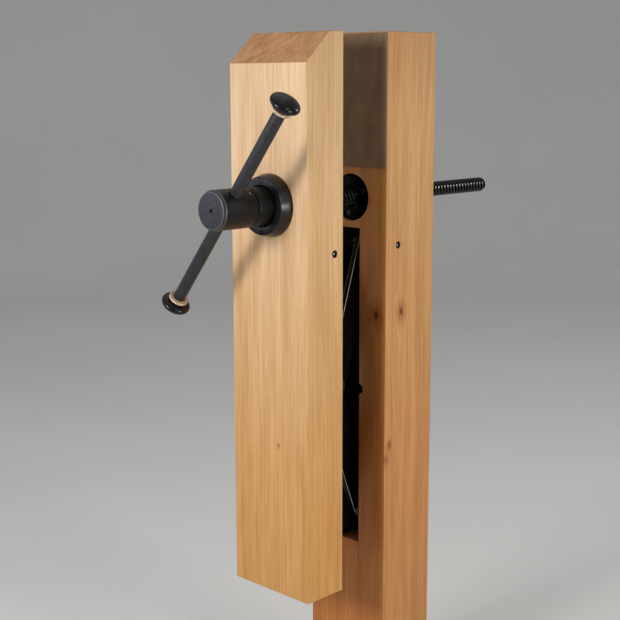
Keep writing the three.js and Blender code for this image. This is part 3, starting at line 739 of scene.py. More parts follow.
def ground_steel(name, tone=(0.50, 0.49, 0.47)):
    """Plain ground steel with fine lines round local Z."""
    s = Shader(name)
    radius, height = from_axis(s)
    tool = s.lines(s.total(radius, height), 3200, detail=3)
    haze = s.noise(s.place, 120, detail=3)
    colour = s.mix(s.ramp(haze, 0.35, 0.7), tone, scaled(tone, 0.72))
    s.bump(tool, 0.00002, 0.5)
    s.set(Base_Color=colour, Metallic=1.0, Roughness=s.ramp(tool, 0.3, 0.7, 0.26, 0.4))
    return s.material


def sintered_bronze(name):
    """Oil-soaked bronze with open pores."""
    s = Shader(name)
    pores = s.ramp(s.noise(s.place, 2600, detail=1), 0.60, 0.68)
    haze = s.noise(s.place, 140, detail=3)
    colour = s.mix(haze, (0.52, 0.31, 0.13), (0.36, 0.20, 0.09))
    colour = s.mix(s.times(pores, 0.7), colour, (0.05, 0.03, 0.02))
    s.bump(s.times(pores, -1.0), 0.00004, 0.6)
    s.set(Base_Color=colour, Metallic=0.9, Roughness=s.ramp(haze, 0.3, 0.7, 0.32, 0.5))
    return s.material


def suede(name):
    """Olive-brown suede: a short nap, brushed lighter and darker in patches."""
    s = Shader(name)
    nap = s.noise(s.place, 2300, detail=3, roughness=0.7)
    weave = s.noise(s.place, (650, 650, 420), detail=3, roughness=0.6)
    brushed = s.noise(s.place, (28, 28, 11), detail=4, roughness=0.6, distortion=0.7)
    colour = s.mix(s.ramp(brushed, 0.36, 0.66), (0.180, 0.118, 0.066), (0.232, 0.160, 0.094))
    colour = s.tint(s.ramp(weave, 0.3, 0.7, 0.0, 0.5), colour, (0.74, 0.72, 0.70))
    colour = s.tint(s.ramp(nap, 0.4, 0.75, 0.0, 0.45), colour, (1.5, 1.48, 1.42))
    s.bump(s.total(nap, s.times(weave, 0.8)), 0.00022, 0.9)
    s.set(Base_Color=colour, Roughness=0.95, Specular_IOR_Level=0.12)
    s.set(Sheen_Weight=0.2, Sheen_Roughness=0.5)
    return s.material


def stacked_leather(name):
    """Undyed leather washers seen on their cut edges: pale, with darker lines between layers."""
    s = Shader(name)
    _, height = from_axis(s)
    layer = s.math("FRACT", s.times(height, 1 / (1.1 * MM)))
    line = s.ramp(s.size(s.minus(layer, 0.5)), 0.40, 0.49)
    fibre = s.noise(s.place, (1700, 1700, 2600), detail=4, roughness=0.7)
    patch = s.noise(s.place, 240, detail=3)
    colour = s.mix(s.ramp(patch, 0.35, 0.68), (0.62, 0.45, 0.32), (0.82, 0.68, 0.54))
    colour = s.tint(s.ramp(fibre, 0.35, 0.7, 0.0, 0.5), colour, (0.70, 0.58, 0.48))
    colour = s.mix(s.times(line, 0.5), colour, (0.22, 0.12, 0.07))
    s.bump(s.total(fibre, s.times(line, -1.3)), 0.00018, 0.8)
    s.set(Base_Color=colour, Roughness=0.78, Specular_IOR_Level=0.25)
    return s.material


def floor_paint(name):
    """A plain pale studio floor with a faint roller texture."""
    s = Shader(name)
    patch = s.noise(s.place, 1.3, detail=3)
    grit = s.noise(s.place, 260, detail=2)
    colour = s.mix(s.ramp(patch, 0.3, 0.7), (0.78, 0.78, 0.78), (0.81, 0.81, 0.81))
    s.bump(grit, 0.0002, 0.15)
    s.set(Base_Color=colour, Roughness=0.9, Specular_IOR_Level=0.1)
    return s.material


# ---- Boards -------------------------------------------------------------------------------


def plank(name, outline, start_x, end_x):
    """A board from its side outline of (y, z) points, with its arrises planed off."""
    work = bmesh.new()
    enclose(work, *[[work.verts.new((x, y, z)) for y, z in outline] for x in (start_x, end_x)])
    bmesh.ops.recalc_face_normals(work, faces=work.faces)
    bmesh.ops.bevel(work, geom=list(work.edges), offset=ARRIS, segments=3, profile=0.5,
                    affect="EDGES", clamp_overlap=False)
    return object_from(name, work)


def slot_tool(face, depth):
    """The slot for the arms, from a board's face into it: depth is signed along Y."""
    outside = face - math.copysign(OVERCUT, depth)
    left, right = HARDWARE_X - SLOT_HALF_WIDTH, HARDWARE_X + SLOT_HALF_WIDTH
    return block((left, outside, SLOT_BOTTOM), (right, face + depth, SLOT_TOP))


def relief_tools(face, depth):
    """The half-round notches in the slot's edges that let the centre bolt pass."""
    outside = -math.copysign(OVERCUT, depth)
    tools = []
    for side in (-1, 1):
        place = Vector((HARDWARE_X + side * SLOT_HALF_WIDTH, face, RELIEF_HEIGHT))
        notch = rod(RELIEF_RADIUS, *sorted((outside, depth)))
        tools.append(moved(notch, frame_at(place, BACK, RIGHT)))
    return tools


def pin_bore(pivot, right_face):
    """The hole for a pivot pin, bored in from the board's right side."""
    place = Vector((right_face, pivot.y, pivot.z))
    return moved(rod(PIN_BORE_RADIUS, -OVERCUT, PIN_BORE_LENGTH), frame_at(place, -RIGHT, UP))


def bores(face, *steps):
    """Round holes on the screw's axis from a board's front face: (radius, start, end)."""
    return [
        moved(rod(radius, start, end, 96), on_screw(face))
        for radius, start, end in steps
    ]


def make_leg(material):
    """The bench leg, with its slot, the nut's pocket and the bores of the pin and the screw."""
    lo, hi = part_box("leg_post")
    outline = [(lo.y, lo.z), (hi.y, lo.z), (hi.y, hi.z), (lo.y, hi.z)]
    leg = plank("leg", outline, lo.x, hi.x)
    cut(
        leg,
        slot_tool(LEG_FRONT, LEG_SLOT_DEPTH),
        *relief_tools(LEG_FRONT, LEG_RELIEF_DEPTH),
        pin_bore(LEG_PIVOT, hi.x),
        *bores(
            LEG_FRONT,
            (NUT_FLANGE_RADIUS + 0.5 * MM, -OVERCUT, NUT_FLANGE_POCKET_DEPTH),
            (NUT_BODY_RADIUS + GAP, NUT_FLANGE_POCKET_DEPTH - OVERCUT, NUT_BODY_POCKET_DEPTH),
            (SCREW_BORE_RADIUS, NUT_BODY_POCKET_DEPTH - OVERCUT, hi.y - lo.y + OVERCUT),
        ),
    )
    stand_in(ease_edges(leg, CUT_EDGE), "leg_post", material)


def make_chop(material):
    """The jaw board: bevelled at its top, slotted behind, with a pocket behind the flange."""
    lo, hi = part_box("chop")
    shoulder = hi.z - BEVEL_HEIGHT
    outline = [(lo.y, lo.z), (hi.y, lo.z), (hi.y, hi.z), (lo.y + BEVEL_DEPTH, hi.z)]
    outline.append((lo.y, shoulder))
    chop = plank("chop", outline, lo.x, hi.x)
    cut(
        chop,
        slot_tool(CHOP_BACK, -CHOP_SLOT_DEPTH),
        *relief_tools(CHOP_BACK, -CHOP_RELIEF_DEPTH),
        pin_bore(CHOP_PIVOT, hi.x),
        *bores(
            CHOP_FRONT,
            (FLANGE_POCKET_RADIUS, -OVERCUT, FLANGE_POCKET_DEPTH),
            (SCREW_BORE_RADIUS, FLANGE_POCKET_DEPTH - OVERCUT, hi.y - lo.y + OVERCUT),
        ),
    )
    ease_edges(chop, CUT_EDGE)
    triangulate(chop)
    stand_in(cut(chop, end_check(hi.z)), "chop", material)


def end_check(top):
    """A small drying crack that runs down from the top arris into the bevel's end grain."""
    outline = [(-0.22 * MM, 3 * MM), (0.22 * MM, 3 * MM), (0.05 * MM, -9 * MM)]
    crack = prism("tool", outline, -3 * MM, 2.5 * MM)
    place = Vector((18 * MM, CHOP_FRONT + BEVEL_DEPTH, top))
    normal = Vector((0, -BEVEL_HEIGHT, BEVEL_DEPTH)).normalized()
    return moved(crack, frame_at(place, normal, RIGHT))


def make_liner(material):
    """The suede on the leg: a thin sheet whose nap and cut edges are slightly uneven."""
    lo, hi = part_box("suede_liner")
    centre = (lo + hi) / 2
    touching = 1e-5
    work = bmesh.new()
    bmesh.ops.create_cube(work, size=1)
    bmesh.ops.bisect_plane(work, geom=work.verts[:] + work.edges[:] + work.faces[:],
                           plane_co=(0, 0, 0), plane_no=(0, 1, 0))
    fit(work, lo, hi)
    for axis, cuts in ((0, LINER_COLUMNS), (2, LINER_ROWS)):
        along = [e for e in work.edges if abs((e.verts[0].co - e.verts[1].co)[axis]) > 50 * MM]
        bmesh.ops.subdivide_edges(work, edges=along, cuts=cuts, use_grid_fill=True)
    for vertex in work.verts:
        if vertex.co.y > hi.y - touching:
            continue
        at_edge = min(*(vertex.co - lo).xz, *(hi - vertex.co).xz) < touching
        fuzz = noise.noise(vertex.co * 900) * 0.5 + noise.noise(vertex.co * 160) * 0.5
        vertex.co.y += (0.10 + 0.10 * fuzz) * MM
        if at_edge:
            inward = Vector((centre.x - vertex.co.x, 0, centre.z - vertex.co.z)).normalized()
            vertex.co += inward * (0.16 + 0.16 * fuzz) * MM
            vertex.co.y += 0.12 * MM
    liner = object_from("liner", work)
    stand_in(liner, "suede_liner", material)


# ---- Fasteners ----------------------------------------------------------------------------


def wood_screw(node, head, direction, length, material):
    """A flat-head wood screw with a hexagonal key socket and a ringed shank."""
    r = SCREW_HEAD_RADIUS
    shank = SCREW_SHANK_RADIUS
    root = shank * 0.68
    shank_end = length * 0.4
    pitch = 1.6 * MM
    profile = [(0, 0), (r, 0, 0.15 * MM), (r, 0.4 * MM, 0.1 * MM)]
    profile += [(shank, SCREW_HEAD_DEPTH, 0.3 * MM), (shank, shank_end)]
    for turn in range(int((length - shank_end - 3 * MM) / pitch)):
        z = shank_end + turn * pitch
        profile += [(root, z + 0.5 * MM), (root, z + 1.1 * MM), (shank, z + pitch)]
    profile += [(root, length - 2.4 * MM), (0, length)]
    screw = turned("screw", profile, 48)
    drilled = [(0, 0.5 * MM), (1.5 * MM, 1 * MM), (1.5 * MM, 1.4 * MM), (0, 2 * MM)]
    cut(screw, hexagon(1.7 * MM, -OVERCUT, 1.45 * MM), turned("tool", drilled, 24))
    stand_in(screw, node, material, frame_at(head, direction, UP))


def grub_screw(node, face, direction, radius, length, material, socket=0.5):
    """A headless screw with a key socket in the end at face. socket is its share of the radius."""
    pitch = 0.9 * MM
    crest = 0.18 * MM
    root = radius - 0.45 * MM
    profile = [(0, 0), (radius - 0.5 * MM, 0, 0.1 * MM)]
    for turn in range(int(length / pitch) - 1):
        z = 0.5 * MM + turn * pitch
        profile += [(radius, z), (radius, z + crest), (root, z + 0.5 * MM)]
    profile += [(root, length - 0.4 * MM), (radius - 0.9 * MM, length), (0, length)]
    grub = turned("grub", profile, 48)
    key = radius * socket
    mouth = [(0, -OVERCUT), (radius * 0.72, -OVERCUT), (key, 0.35 * MM), (0, 0.35 * MM)]
    cut(grub, hexagon(key * 1.1, -OVERCUT, 1.3 * MM), turned("tool", mouth, 48))
    stand_in(grub, node, material, frame_at(face, direction, BACK))


def seat_tool(thickness):
    """A countersunk hole for a wood screw along local Z, from 0 to the back of a plate."""
    head = SCREW_HEAD_RADIUS + 0.25 * MM
    lip = head + 0.12 * MM
    shank = SCREW_SHANK_RADIUS + 0.25 * MM
    profile = [(0, -OVERCUT), (lip, -OVERCUT), (lip, 0), (head, 0.15 * MM), (head, 0.6 * MM)]
    profile += [(shank, SCREW_HEAD_DEPTH + 0.2 * MM)]
    profile += [(shank, thickness + OVERCUT), (0, thickness + OVERCUT)]
    return turned("tool", profile, 48)


def on_circle(radius, count, turn):
    """Places on a circle round local Z, from an angle in degrees."""
    angles = [math.radians(turn + 360 * i / count) for i in range(count)]
    return [Vector((radius * math.cos(a), radius * math.sin(a), 0)) for a in angles]


# ---- Screw train --------------------------------------------------------------------------


def make_hub(material, grub_material):
    """The head that carries the bar, the grooved barrel and the neck, turned in one piece."""
    length = high("hub").y - HUB_FACE
    r = HUB_RADIUS
    head = HUB_HEAD
    face_radius = r - HUB_CHAMFER
    bore = SCREW_RADIUS + GAP
    profile = [(0, 5.2 * MM), (1.15 * MM, 4.4 * MM), (1.15 * MM, 2.4 * MM), (2.6 * MM, 0)]
    profile += [(face_radius, 0, 0.35 * MM), (r, HUB_CHAMFER_LENGTH, 0.5 * MM)]
    profile += [(r, head - 0.6 * MM, 0.2 * MM), (r - 0.6 * MM, head, 0.2 * MM)]
    profile += [(face_radius, head + 0.2 * MM, 0.2 * MM), (face_radius, head + 1.3 * MM)]
    profile += arc(r - 4.3 * MM, head + 5.3 * MM, 4 * MM, 4 * MM, -60, 0, 14)
    profile += [(r - 0.3 * MM, HUB_SHOULDER, 0.3 * MM), (NECK_RADIUS, HUB_SHOULDER)]
    profile += [(NECK_RADIUS, length, 0.4 * MM), (bore, length), (bore, HUB_SOCKET)]
    hub = turned("hub", profile + [(0, HUB_SOCKET)], 128)
    bar_axis = frame_at((0, 0, BAR_FROM_HUB_FACE), RIGHT, UP)
    tools = [moved(rod(BAR_RADIUS + 0.2 * MM, -THROUGH, THROUGH, 72), bar_axis)]
    for side in (-1, 1):
        mouth = [(0, 0), (BAR_RADIUS - 1.4 * MM, 0), (BAR_RADIUS + 3.2 * MM, BAR_MOUTH_DEPTH)]
        mouth.append((0, BAR_MOUTH_DEPTH))
        place = Vector((side * (r - 2.9 * MM), 0, BAR_FROM_HUB_FACE))
        tools.append(moved(turned("tool", mouth, 72), frame_at(place, side * RIGHT, UP)))
    grub_bore = rod(HUB_GRUB_RADIUS + 0.25 * MM, SCREW_RADIUS - OVERCUT, THROUGH)
    cut(hub, *tools, moved(grub_bore, frame_at((0, 0, HUB_GRUB_HEIGHT), RIGHT, UP)))
    stand_in(hub, "hub", material, frame_at(at_screw(HUB_FACE), BACK, BAR_DIRECTION))
    face = at_screw(HUB_FACE + HUB_GRUB_HEIGHT) + BAR_DIRECTION * (r - 0.9 * MM)
    grub_screw("hub_grub_screw", face, -BAR_DIRECTION, HUB_GRUB_RADIUS, 11 * MM, grub_material)


def make_screw(material):
    """The hand screw with its two-start thread."""
    start, end = low("vise_screw").y, high("vise_screw").y
    crest = SCREW_RADIUS
    root = crest - THREAD_DEPTH
    flank = crest - THREAD_CHAMFER
    shares = ((0, root), (0.17, root), (0.27, flank), (0.38, crest), (0.72, crest), (0.83, flank),
              (0.93, root))
    tooth = [(share * THREAD_PITCH, radius) for share, radius in shares]
    work = bmesh.new()
    grid = thread_points(work, end - start, tooth)
    step = len(tooth) * THREAD_STARTS
    for row in range(step, len(grid) - 1):
        for side in range(THREAD_SIDES - 1):
            work.faces.new((grid[row][side], grid[row][side + 1],
                            grid[row + 1][side + 1], grid[row + 1][side]))
    for row in range(len(grid) - 1 - step):
        ahead = row + step
        work.faces.new((grid[row][-1], grid[ahead][0], grid[ahead + 1][0], grid[row + 1][-1]))
    bmesh.ops.remove_doubles(work, verts=work.verts, dist=0.02 * MM)
    loose = [vertex for vertex in work.verts if not vertex.link_faces]
    bmesh.ops.delete(work, geom=loose, context="VERTS")
    bmesh.ops.holes_fill(work, edges=[e for e in work.edges if e.is_boundary], sides=0)
    screw = object_from("screw", work, math.radians(18))
    stand_in(screw, "vise_screw", material, on_screw(start))


def thread_points(work, length, tooth):
    """Rows of points along the thread. A row is one turn of a start and advances one lead, so
    its last point meets the first point of the row that lies one lead further on."""
    lead = THREAD_PITCH * THREAD_STARTS
    first = -THREAD_STARTS - 1
    last = int(length / THREAD_PITCH) + 2
    rows = [(k * THREAD_PITCH + y, radius) for k in range(first, last) for y, radius in tooth]
    grid = []
    for place, radius in rows:
        line = []
        for side in range(THREAD_SIDES):
            angle = 2 * math.pi * side / THREAD_SIDES
            y = place + lead * side / THREAD_SIDES
            r = min(radius, end_profile(y, length))
            y = min(max(y, 0), length)
            line.append(work.verts.new((r * math.cos(angle), r * math.sin(angle), y)))
        grid.append(line)
    return grid


def end_profile(y, length):
    """How far out the screw's surface may be at a distance along it: its far end is rounded."""
    if y < 0 or y > length:
        return 2.2 * MM
    from_end = length - y
    reach = SCREW_END_ROUND + 0.5 * MM
    if from_end >= reach:
        return 1.0
    across = 1 - from_end / reach
    rise = SCREW_END_ROUND * math.sqrt(max(0, 1 - across ** 2))
    return SCREW_RADIUS - SCREW_END_ROUND + rise


def make_collar(material, grub_material):
    """The ring on the hub's neck behind the flange, with a grub screw down into it."""
    lo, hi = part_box("retaining_collar")
    outer = NECK_RADIUS + COLLAR_WALL
    collar = ring("collar", NECK_RADIUS + GAP, outer, 0, hi.y - lo.y, 0.6 * MM, 96)
    hole_y = middle("collar_grub_screw").y
    hole = rod(COLLAR_GRUB_RADIUS + 0.2 * MM, NECK_RADIUS - OVERCUT, outer + 2.5 * MM)
    cut(collar, moved(hole, frame_at((0, 0, hole_y - lo.y), (0, -1, 0), RIGHT)))
    stand_in(collar, "retaining_collar", material, on_screw(lo.y))
    face = Vector((HARDWARE_X, hole_y, high("collar_grub_screw").z))
    grub_screw("collar_grub_screw", face, -UP, COLLAR_GRUB_RADIUS, 5.5 * MM, grub_material)


def make_flange(material, screw_material):
    """The round plate on the chop: a flat face for its screws, a conical rim, a deep mouth."""
    r = FLANGE_RADIUS
    t = FLANGE_THICKNESS
    mouth = HUB_RADIUS + 0.6 * MM
    neck = NECK_RADIUS + 0.8 * MM
    recess = NECK_RADIUS + 7 * MM
    back = t - GAP
    profile = [(neck, t - 7.5 * MM, 0.2 * MM), (mouth, t - 7.5 * MM, 0.3 * MM)]
    profile += [(mouth, 0.9 * MM, 0.2 * MM), (mouth + 0.9 * MM, 0, 0.2 * MM)]
    profile += [(FLANGE_FACE_RADIUS, 0, 0.5 * MM), (r, t - FLANGE_EDGE, 0.5 * MM)]
    profile += [(r, back, 0.2 * MM), (recess, back, 0.2 * MM), (recess, t - 3.5 * MM)]
    profile += [(neck, t - 3.5 * MM, 0.2 * MM)]
    flange = turned("flange", profile, 160, closed=True)
    place = on_screw(CHOP_FRONT - t)
    spots = on_circle(FLANGE_SCREW_CIRCLE, 2, 90)
    countersink(flange, spots, t)
    stand_in(flange, "front_flange", material, place)
    screws_at(spots, place, "flange_screw_", FLANGE_SCREW_LENGTH, screw_material)


def countersink(plate, spots, thickness):
    """Cuts the seats of wood screws in a round plate."""
    cut(plate, *[moved(seat_tool(thickness), Matrix.Translation(spot)) for spot in spots])


def screws_at(spots, place, prefix, length, material):
    """The wood screws of a round plate. Each one replaces the nearest CAD node of its prefix."""
    nodes = [node for node in SLOT if node.startswith(prefix)]
    for spot in spots:
        head = place @ (spot + Vector((0, 0, SCREW_HEAD_SINK)))
        nearest = min(nodes, key=lambda node: (middle(node) - head).xz.length)
        wood_screw(nearest, head, BACK, length, material)


def make_nut(material, screw_material):
    """The flanged nut let into the leg, just below its face."""
    face = low("screw_nut").y
    length = high("screw_nut").y - face
    bore = SCREW_RADIUS + GAP
    rim = NUT_FLANGE_RADIUS
    body = NUT_BODY_RADIUS
    flange_back = 6.1 * MM
    profile = [(bore, 2.2 * MM), (bore + 2.2 * MM, 0, 0.2 * MM), (rim - 2.4 * MM, 0, 0.6 * MM)]
    profile += [(rim, 2.2 * MM, 0.6 * MM), (rim, flange_back, 0.2 * MM), (body, flange_back)]
    profile += [(body, length, 0.5 * MM), (bore, length)]
    nut = turned("nut", profile, 128, closed=True)
    spots = on_circle(NUT_SCREW_CIRCLE, 3, -NUT_SCREW_TURN)
    countersink(nut, spots, NUT_FLANGE_POCKET_DEPTH)
    stand_in(nut, "screw_nut", material, on_screw(face))
    screws_at(spots, on_screw(face), "nut_screw_", NUT_SCREW_LENGTH, screw_material)


def make_thrust_washers(material):
    """The bronze rings before and behind the flange's web."""
    for node, outer in (
        ("thrust_washer_front", HUB_RADIUS - 0.2 * MM),
        ("thrust_washer_rear", NECK_RADIUS + COLLAR_WALL),
    ):
        lo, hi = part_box(node)
        washer = ring(node, NECK_RADIUS + 0.5 * MM, outer, 0, hi.y - lo.y, 0.15 * MM, 96)
        stand_in(washer, node, material, on_screw(lo.y))


# ---- Handle -------------------------------------------------------------------------------


def make_handle(bar_material, knob_material, leather):
    """The sliding bar, with a leather washer and a knob at each end."""
    centre = at_screw(HUB_FACE + BAR_FROM_HUB_FACE) + BAR_DIRECTION * BAR_SHIFT
    washer_outer = BAR_HALF_SPAN + GRIP_WASHER_THICKNESS
    end = washer_outer + BAR_TENON
    profile = [(0, -end), (BAR_RADIUS, -end, 0.5 * MM), (BAR_RADIUS, end, 0.5 * MM), (0, end)]
    bar = turned("bar", profile)
    stand_in(bar, "handle_bar", bar_material, frame_at(centre, BAR_DIRECTION, -BACK))
    for side, label in ((1, "upper"), (-1, "lower")):
        outward = BAR_DIRECTION * side
        inner = frame_at(centre + outward * BAR_HALF_SPAN, outward, -BACK)
        stand_in(leather_washer(), f"leather_washer_{label}", leather, inner)
        outer = frame_at(centre + outward * washer_outer, outward, -BACK)
        stand_in(knob(), f"knob_{label}", knob_material, outer)


def leather_washer():
    """Three punched leather discs pressed together, a little uneven round the rim."""
    layers = 3
    thick = (GRIP_WASHER_THICKNESS - GAP) / layers
    inner = BAR_RADIUS + EASE
    edge = GRIP_WASHER_RADIUS - 0.32 * MM
    rim = GRIP_WASHER_RADIUS - 0.05 * MM
    profile = [(inner, 0)]
    for layer in range(layers):
        z = layer * thick
        profile += [(edge, z), (rim, z + 0.28 * thick)]
        profile += [(rim, z + 0.72 * thick), (edge, z + 0.97 * thick)]
    profile.append((inner, layers * thick))
    washer = turned("washer", profile, 128, closed=True)
    for vertex in washer.data.vertices:
        rough = noise.noise(vertex.co * 420) * 0.12 * MM
        outwards = Vector((vertex.co.x, vertex.co.y, 0)).normalized()
        if vertex.co.xy.length > inner + 1 * MM:
            vertex.co += outwards * min(rough, 0.04 * MM)
    return washer


def knob():
    """A domed knob: a short collar, a hollow curve under the rim and an even dome above it."""
    inner = BAR_RADIUS + GAP
    collar = KNOB_COLLAR_RADIUS
    root = collar + 0.6 * MM
    rim = KNOB_RIM_HEIGHT
    socket = BAR_TENON + 0.5 * MM
    profile = [(inner, 0, 0.2 * MM), (collar, 0, 0.4 * MM), (collar, KNOB_COLLAR_HEIGHT, 0.4 * MM)]
    profile += arc(root, rim, KNOB_RADIUS - root, rim - KNOB_COLLAR_HEIGHT, -90, 0, 16)
    profile += arc(0, rim, KNOB_RADIUS, KNOB_HEIGHT - rim, 4, 90, 30)[:-1]
    profile += [(0, KNOB_HEIGHT), (0, socket), (inner, socket)]
    return turned("knob", profile, 128, closed=True)


# ---- Crossed arms -------------------------------------------------------------------------


def arm_outline():
    """An arm's outline with its pivot at the origin and its foot at -Y."""
    length = 2 * ARM_HALF_LENGTH
    taper = ARM_TAPER_LENGTH - length
    points = arc(0, 0, ARM_HALF_WIDTH, ARM_HALF_WIDTH, 0, 180, 40)
    points.append((-ARM_HALF_WIDTH, taper))
    points += arc(0, -length, ARM_FOOT_RADIUS, ARM_FOOT_RADIUS, 180, 360, 40)
    points.append((ARM_HALF_WIDTH, taper))
    return points


def across_arm(along, side=1):
    """A placing across an arm at a distance along it: local Z to the right, or to the left."""
    return frame_at((0, 0, along), side * RIGHT, BACK)


def make_arm(name, side, base, centre_radius, materials):
    """An arm with its bush, roller and roller pin. side is +1 where it lies to the right."""
    plate_material, bush_material, roller_material = materials
    faces = sorted((side * ARM_INNER_FACE, side * ARM_OUTER_FACE))
    plate = moved(prism("arm", arm_outline(), *faces), across_arm(0))
    length = 2 * ARM_HALF_LENGTH
    holes = ((0, BUSHING_RADIUS), (-ARM_HALF_LENGTH, centre_radius), (-length, PIN_RADIUS))
    cut(plate, *[
        moved(rod(radius + 0.1 * MM, -THROUGH, THROUGH, 72), across_arm(along))
        for along, radius in holes
    ])
    ease_edges(plate, 0.5 * MM, 3)
    stand_in(plate, f"{name}_arm", plate_material, base)
    pivot = base @ across_arm(0)
    bush = ring("bush", PIN_RADIUS + EASE, BUSHING_RADIUS, *faces, 0.3 * MM)
    stand_in(bush, f"{name}_arm_bushing", bush_material, pivot)
    foot = base @ across_arm(-length, side)
    near = GAP - ARM_INNER_FACE
    roller = ring("roller", PIN_RADIUS + EASE, ROLLER_RADIUS, near - ROLLER_WIDTH, near,
                  0.9 * MM, 96)
    stand_in(roller, f"{name}_arm_roller", roller_material, foot)
    stand_in(roller_pin(), f"{name}_arm_roller_pin", plate_material, foot)


def roller_pin():
    """A pin with a low domed head outside the arm, and a groove for a clip near its tip."""
    r = PIN_RADIUS
    groove = r - 0.6 * MM
    tip = -ROLLER_PIN_REACH
    head = ARM_OUTER_FACE + GAP
    head_radius = r + ROLLER_PIN_HEAD
    profile = [(0, tip), (r, tip, 0.5 * MM), (r, tip + 0.9 * MM, 0.1 * MM)]
    profile += [(groove, tip + 0.9 * MM), (groove, tip + 1.7 * MM), (r, tip + 1.7 * MM)]
    profile += [(r, head), (head_radius, head, 0.1 * MM)]
    profile += arc(0, head + 0.9 * MM, head_radius, 1.5 * MM, 0, 90, 12)
    return turned("pin", profile, 64)


def make_centre_bolt(base, material):
    """The bolt through both arms, its nut and the two wide washers."""
    centre = base @ across_arm(-ARM_HALF_LENGTH)
    washer_face = ARM_OUTER_FACE + GAP
    nut_face = washer_face + WASHER_THICKNESS + GAP
    r = CENTRE_BOLT_RADIUS
    tip = nut_face + CENTRE_HEX_HEIGHT + 1.2 * MM
    neck = -nut_face - 1 * MM
    thread = 2 * MM
    pitch = 1.5 * MM
    profile = [(0, neck), (r, neck), (r, thread)]
    for turn in range(int((tip - 3 * MM) / pitch)):
        z = thread + turn * pitch
        profile += [(r - 0.7 * MM, z + 0.7 * pitch), (r, z + pitch)]
    profile += [(r - 0.9 * MM, tip), (0, tip)]
    bolt = turned("bolt", profile, 64)
    combine(bolt, "UNION", hex_piece(-nut_face - CENTRE_HEX_HEIGHT, -nut_face))
    stand_in(bolt, "centre_bolt", material, centre)
    nut = hex_piece(nut_face, nut_face + CENTRE_HEX_HEIGHT, r + EASE)
    stand_in(nut, "centre_nut", material, centre)
    for label, z in (("left", -washer_face - WASHER_THICKNESS), ("right", washer_face)):
        washer = ring("washer", r + GAP, CENTRE_WASHER_RADIUS, z, z + WASHER_THICKNESS, 0.25 * MM)
        stand_in(washer, f"centre_washer_{label}", material, centre)


def hex_piece(start, end, bore=None):
    """A hexagon with its corners turned off at both ends, and a bore if one is given."""
    face = CENTRE_HEX_RADIUS * 0.9
    corner = CENTRE_HEX_RADIUS * 1.01
    below, above = start - OVERCUT, end + OVERCUT
    piece = hexagon(CENTRE_HEX_RADIUS, start, end)
    limit = rod(CENTRE_HEX_RADIUS + 3 * MM, below, above, 96)
    keep = [(0, start), (face, start), (corner, start + 0.6 * MM)]
    keep += [(corner, end - 0.6 * MM), (face, end), (0, end)]
    tools = [cut(limit, turned("keep", keep))]
    if bore:
        tools.append(rod(bore, below, above, 64))
    return cut(piece, *tools)


def make_pivot(name, pivot, right_face, steel, grub_material):
    """A pivot pin, the grub screw that closes its hole, and the spacers beside the arm."""
    lo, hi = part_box(f"{name}_pivot_pin")
    length = hi.x - lo.x
    profile = [(0, 0), (PIN_RADIUS, 0, 0.6 * MM), (PIN_RADIUS, length, 0.6 * MM), (0, length)]
    place = frame_at((lo.x, pivot.y, pivot.z), RIGHT, UP)
    stand_in(turned("pin", profile, 64), f"{name}_pivot_pin", steel, place)
    face = Vector((right_face - PIN_GRUB_RECESS, pivot.y, pivot.z))
    grub_screw(f"{name}_pin_grub_screw", face, -RIGHT, PIN_GRUB_RADIUS, PIN_GRUB_LENGTH,
               grub_material, 0.52)
    for label in ("left", "right"):
        node = f"{name}_spacer_{label}"
        lo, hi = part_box(node)
        spacer = ring(node, PIN_RADIUS + EASE, SPACER_RADIUS, 0, hi.x - lo.x, 0.4 * MM)
        stand_in(spacer, node, steel, frame_at((lo.x, pivot.y, pivot.z), RIGHT, UP))


def make_wear_plate(name, towards, material):
    """The steel strip on a slot's floor. towards is the way its bare face looks along Y."""
    lo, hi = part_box(f"{name}_wear_plate")
    plate = block(lo, hi, "plate")
    face = lo.y if towards < 0 else hi.y
    direction = BACK if towards < 0 else -BACK
    tools = []
    heads = []
    for node in (f"{name}_plate_screw_1", f"{name}_plate_screw_2"):
        spot = middle(node)
        place = Vector((spot.x, face, spot.z))
        tools.append(moved(seat_tool(hi.y - lo.y), frame_at(place, direction, UP)))
        heads.append((node, place + direction * WEAR_SCREW_SINK))
    cut(plate, *tools)
    ease_edges(plate, 0.4 * MM)
    stand_in(plate, f"{name}_wear_plate", material)
    for node, head in heads:
        wood_screw(node, head, direction, WEAR_SCREW_LENGTH, material)


# ---- Stage --------------------------------------------------------------------------------


def make_stage():
    """A pale floor that curves up into a wall all round, well away from the object."""
    curve = WALL_RADIUS - FLOOR_RADIUS
    profile = [(0, 0)] + arc(FLOOR_RADIUS, curve, curve, curve, -90, 0, 24)
    profile.append((WALL_RADIUS, WALL_HEIGHT))
    work = bmesh.new()
    points = [work.verts.new((r, 0, z)) for r, z in profile]
    edges = [work.edges.new(pair) for pair in zip(points, points[1:])]
    bmesh.ops.spin(work, geom=points + edges, cent=(0, 0, 0), axis=(0, 0, 1),
                   angle=2 * math.pi, steps=96, use_duplicate=False)
    bmesh.ops.remove_doubles(work, verts=work.verts, dist=1e-5)
    stage = object_from("stage_floor", work)
    for polygon in stage.data.polygons:
        if polygon.normal.z < -0.1:
            stage.data.flip_normals()
            break
    stage.data.materials.append(floor_paint("pale_floor"))


def aim(name, data, place, direction):
    """Puts a light or a camera at a place, looking along a direction."""
    thing = bpy.data.objects.new(name, data)
    bpy.context.scene.collection.objects.link(thing)
    thing.location = place
    thing.rotation_mode = "QUATERNION"
    thing.rotation_quaternion = direction.to_track_quat("-Z", "Y")
    return thing


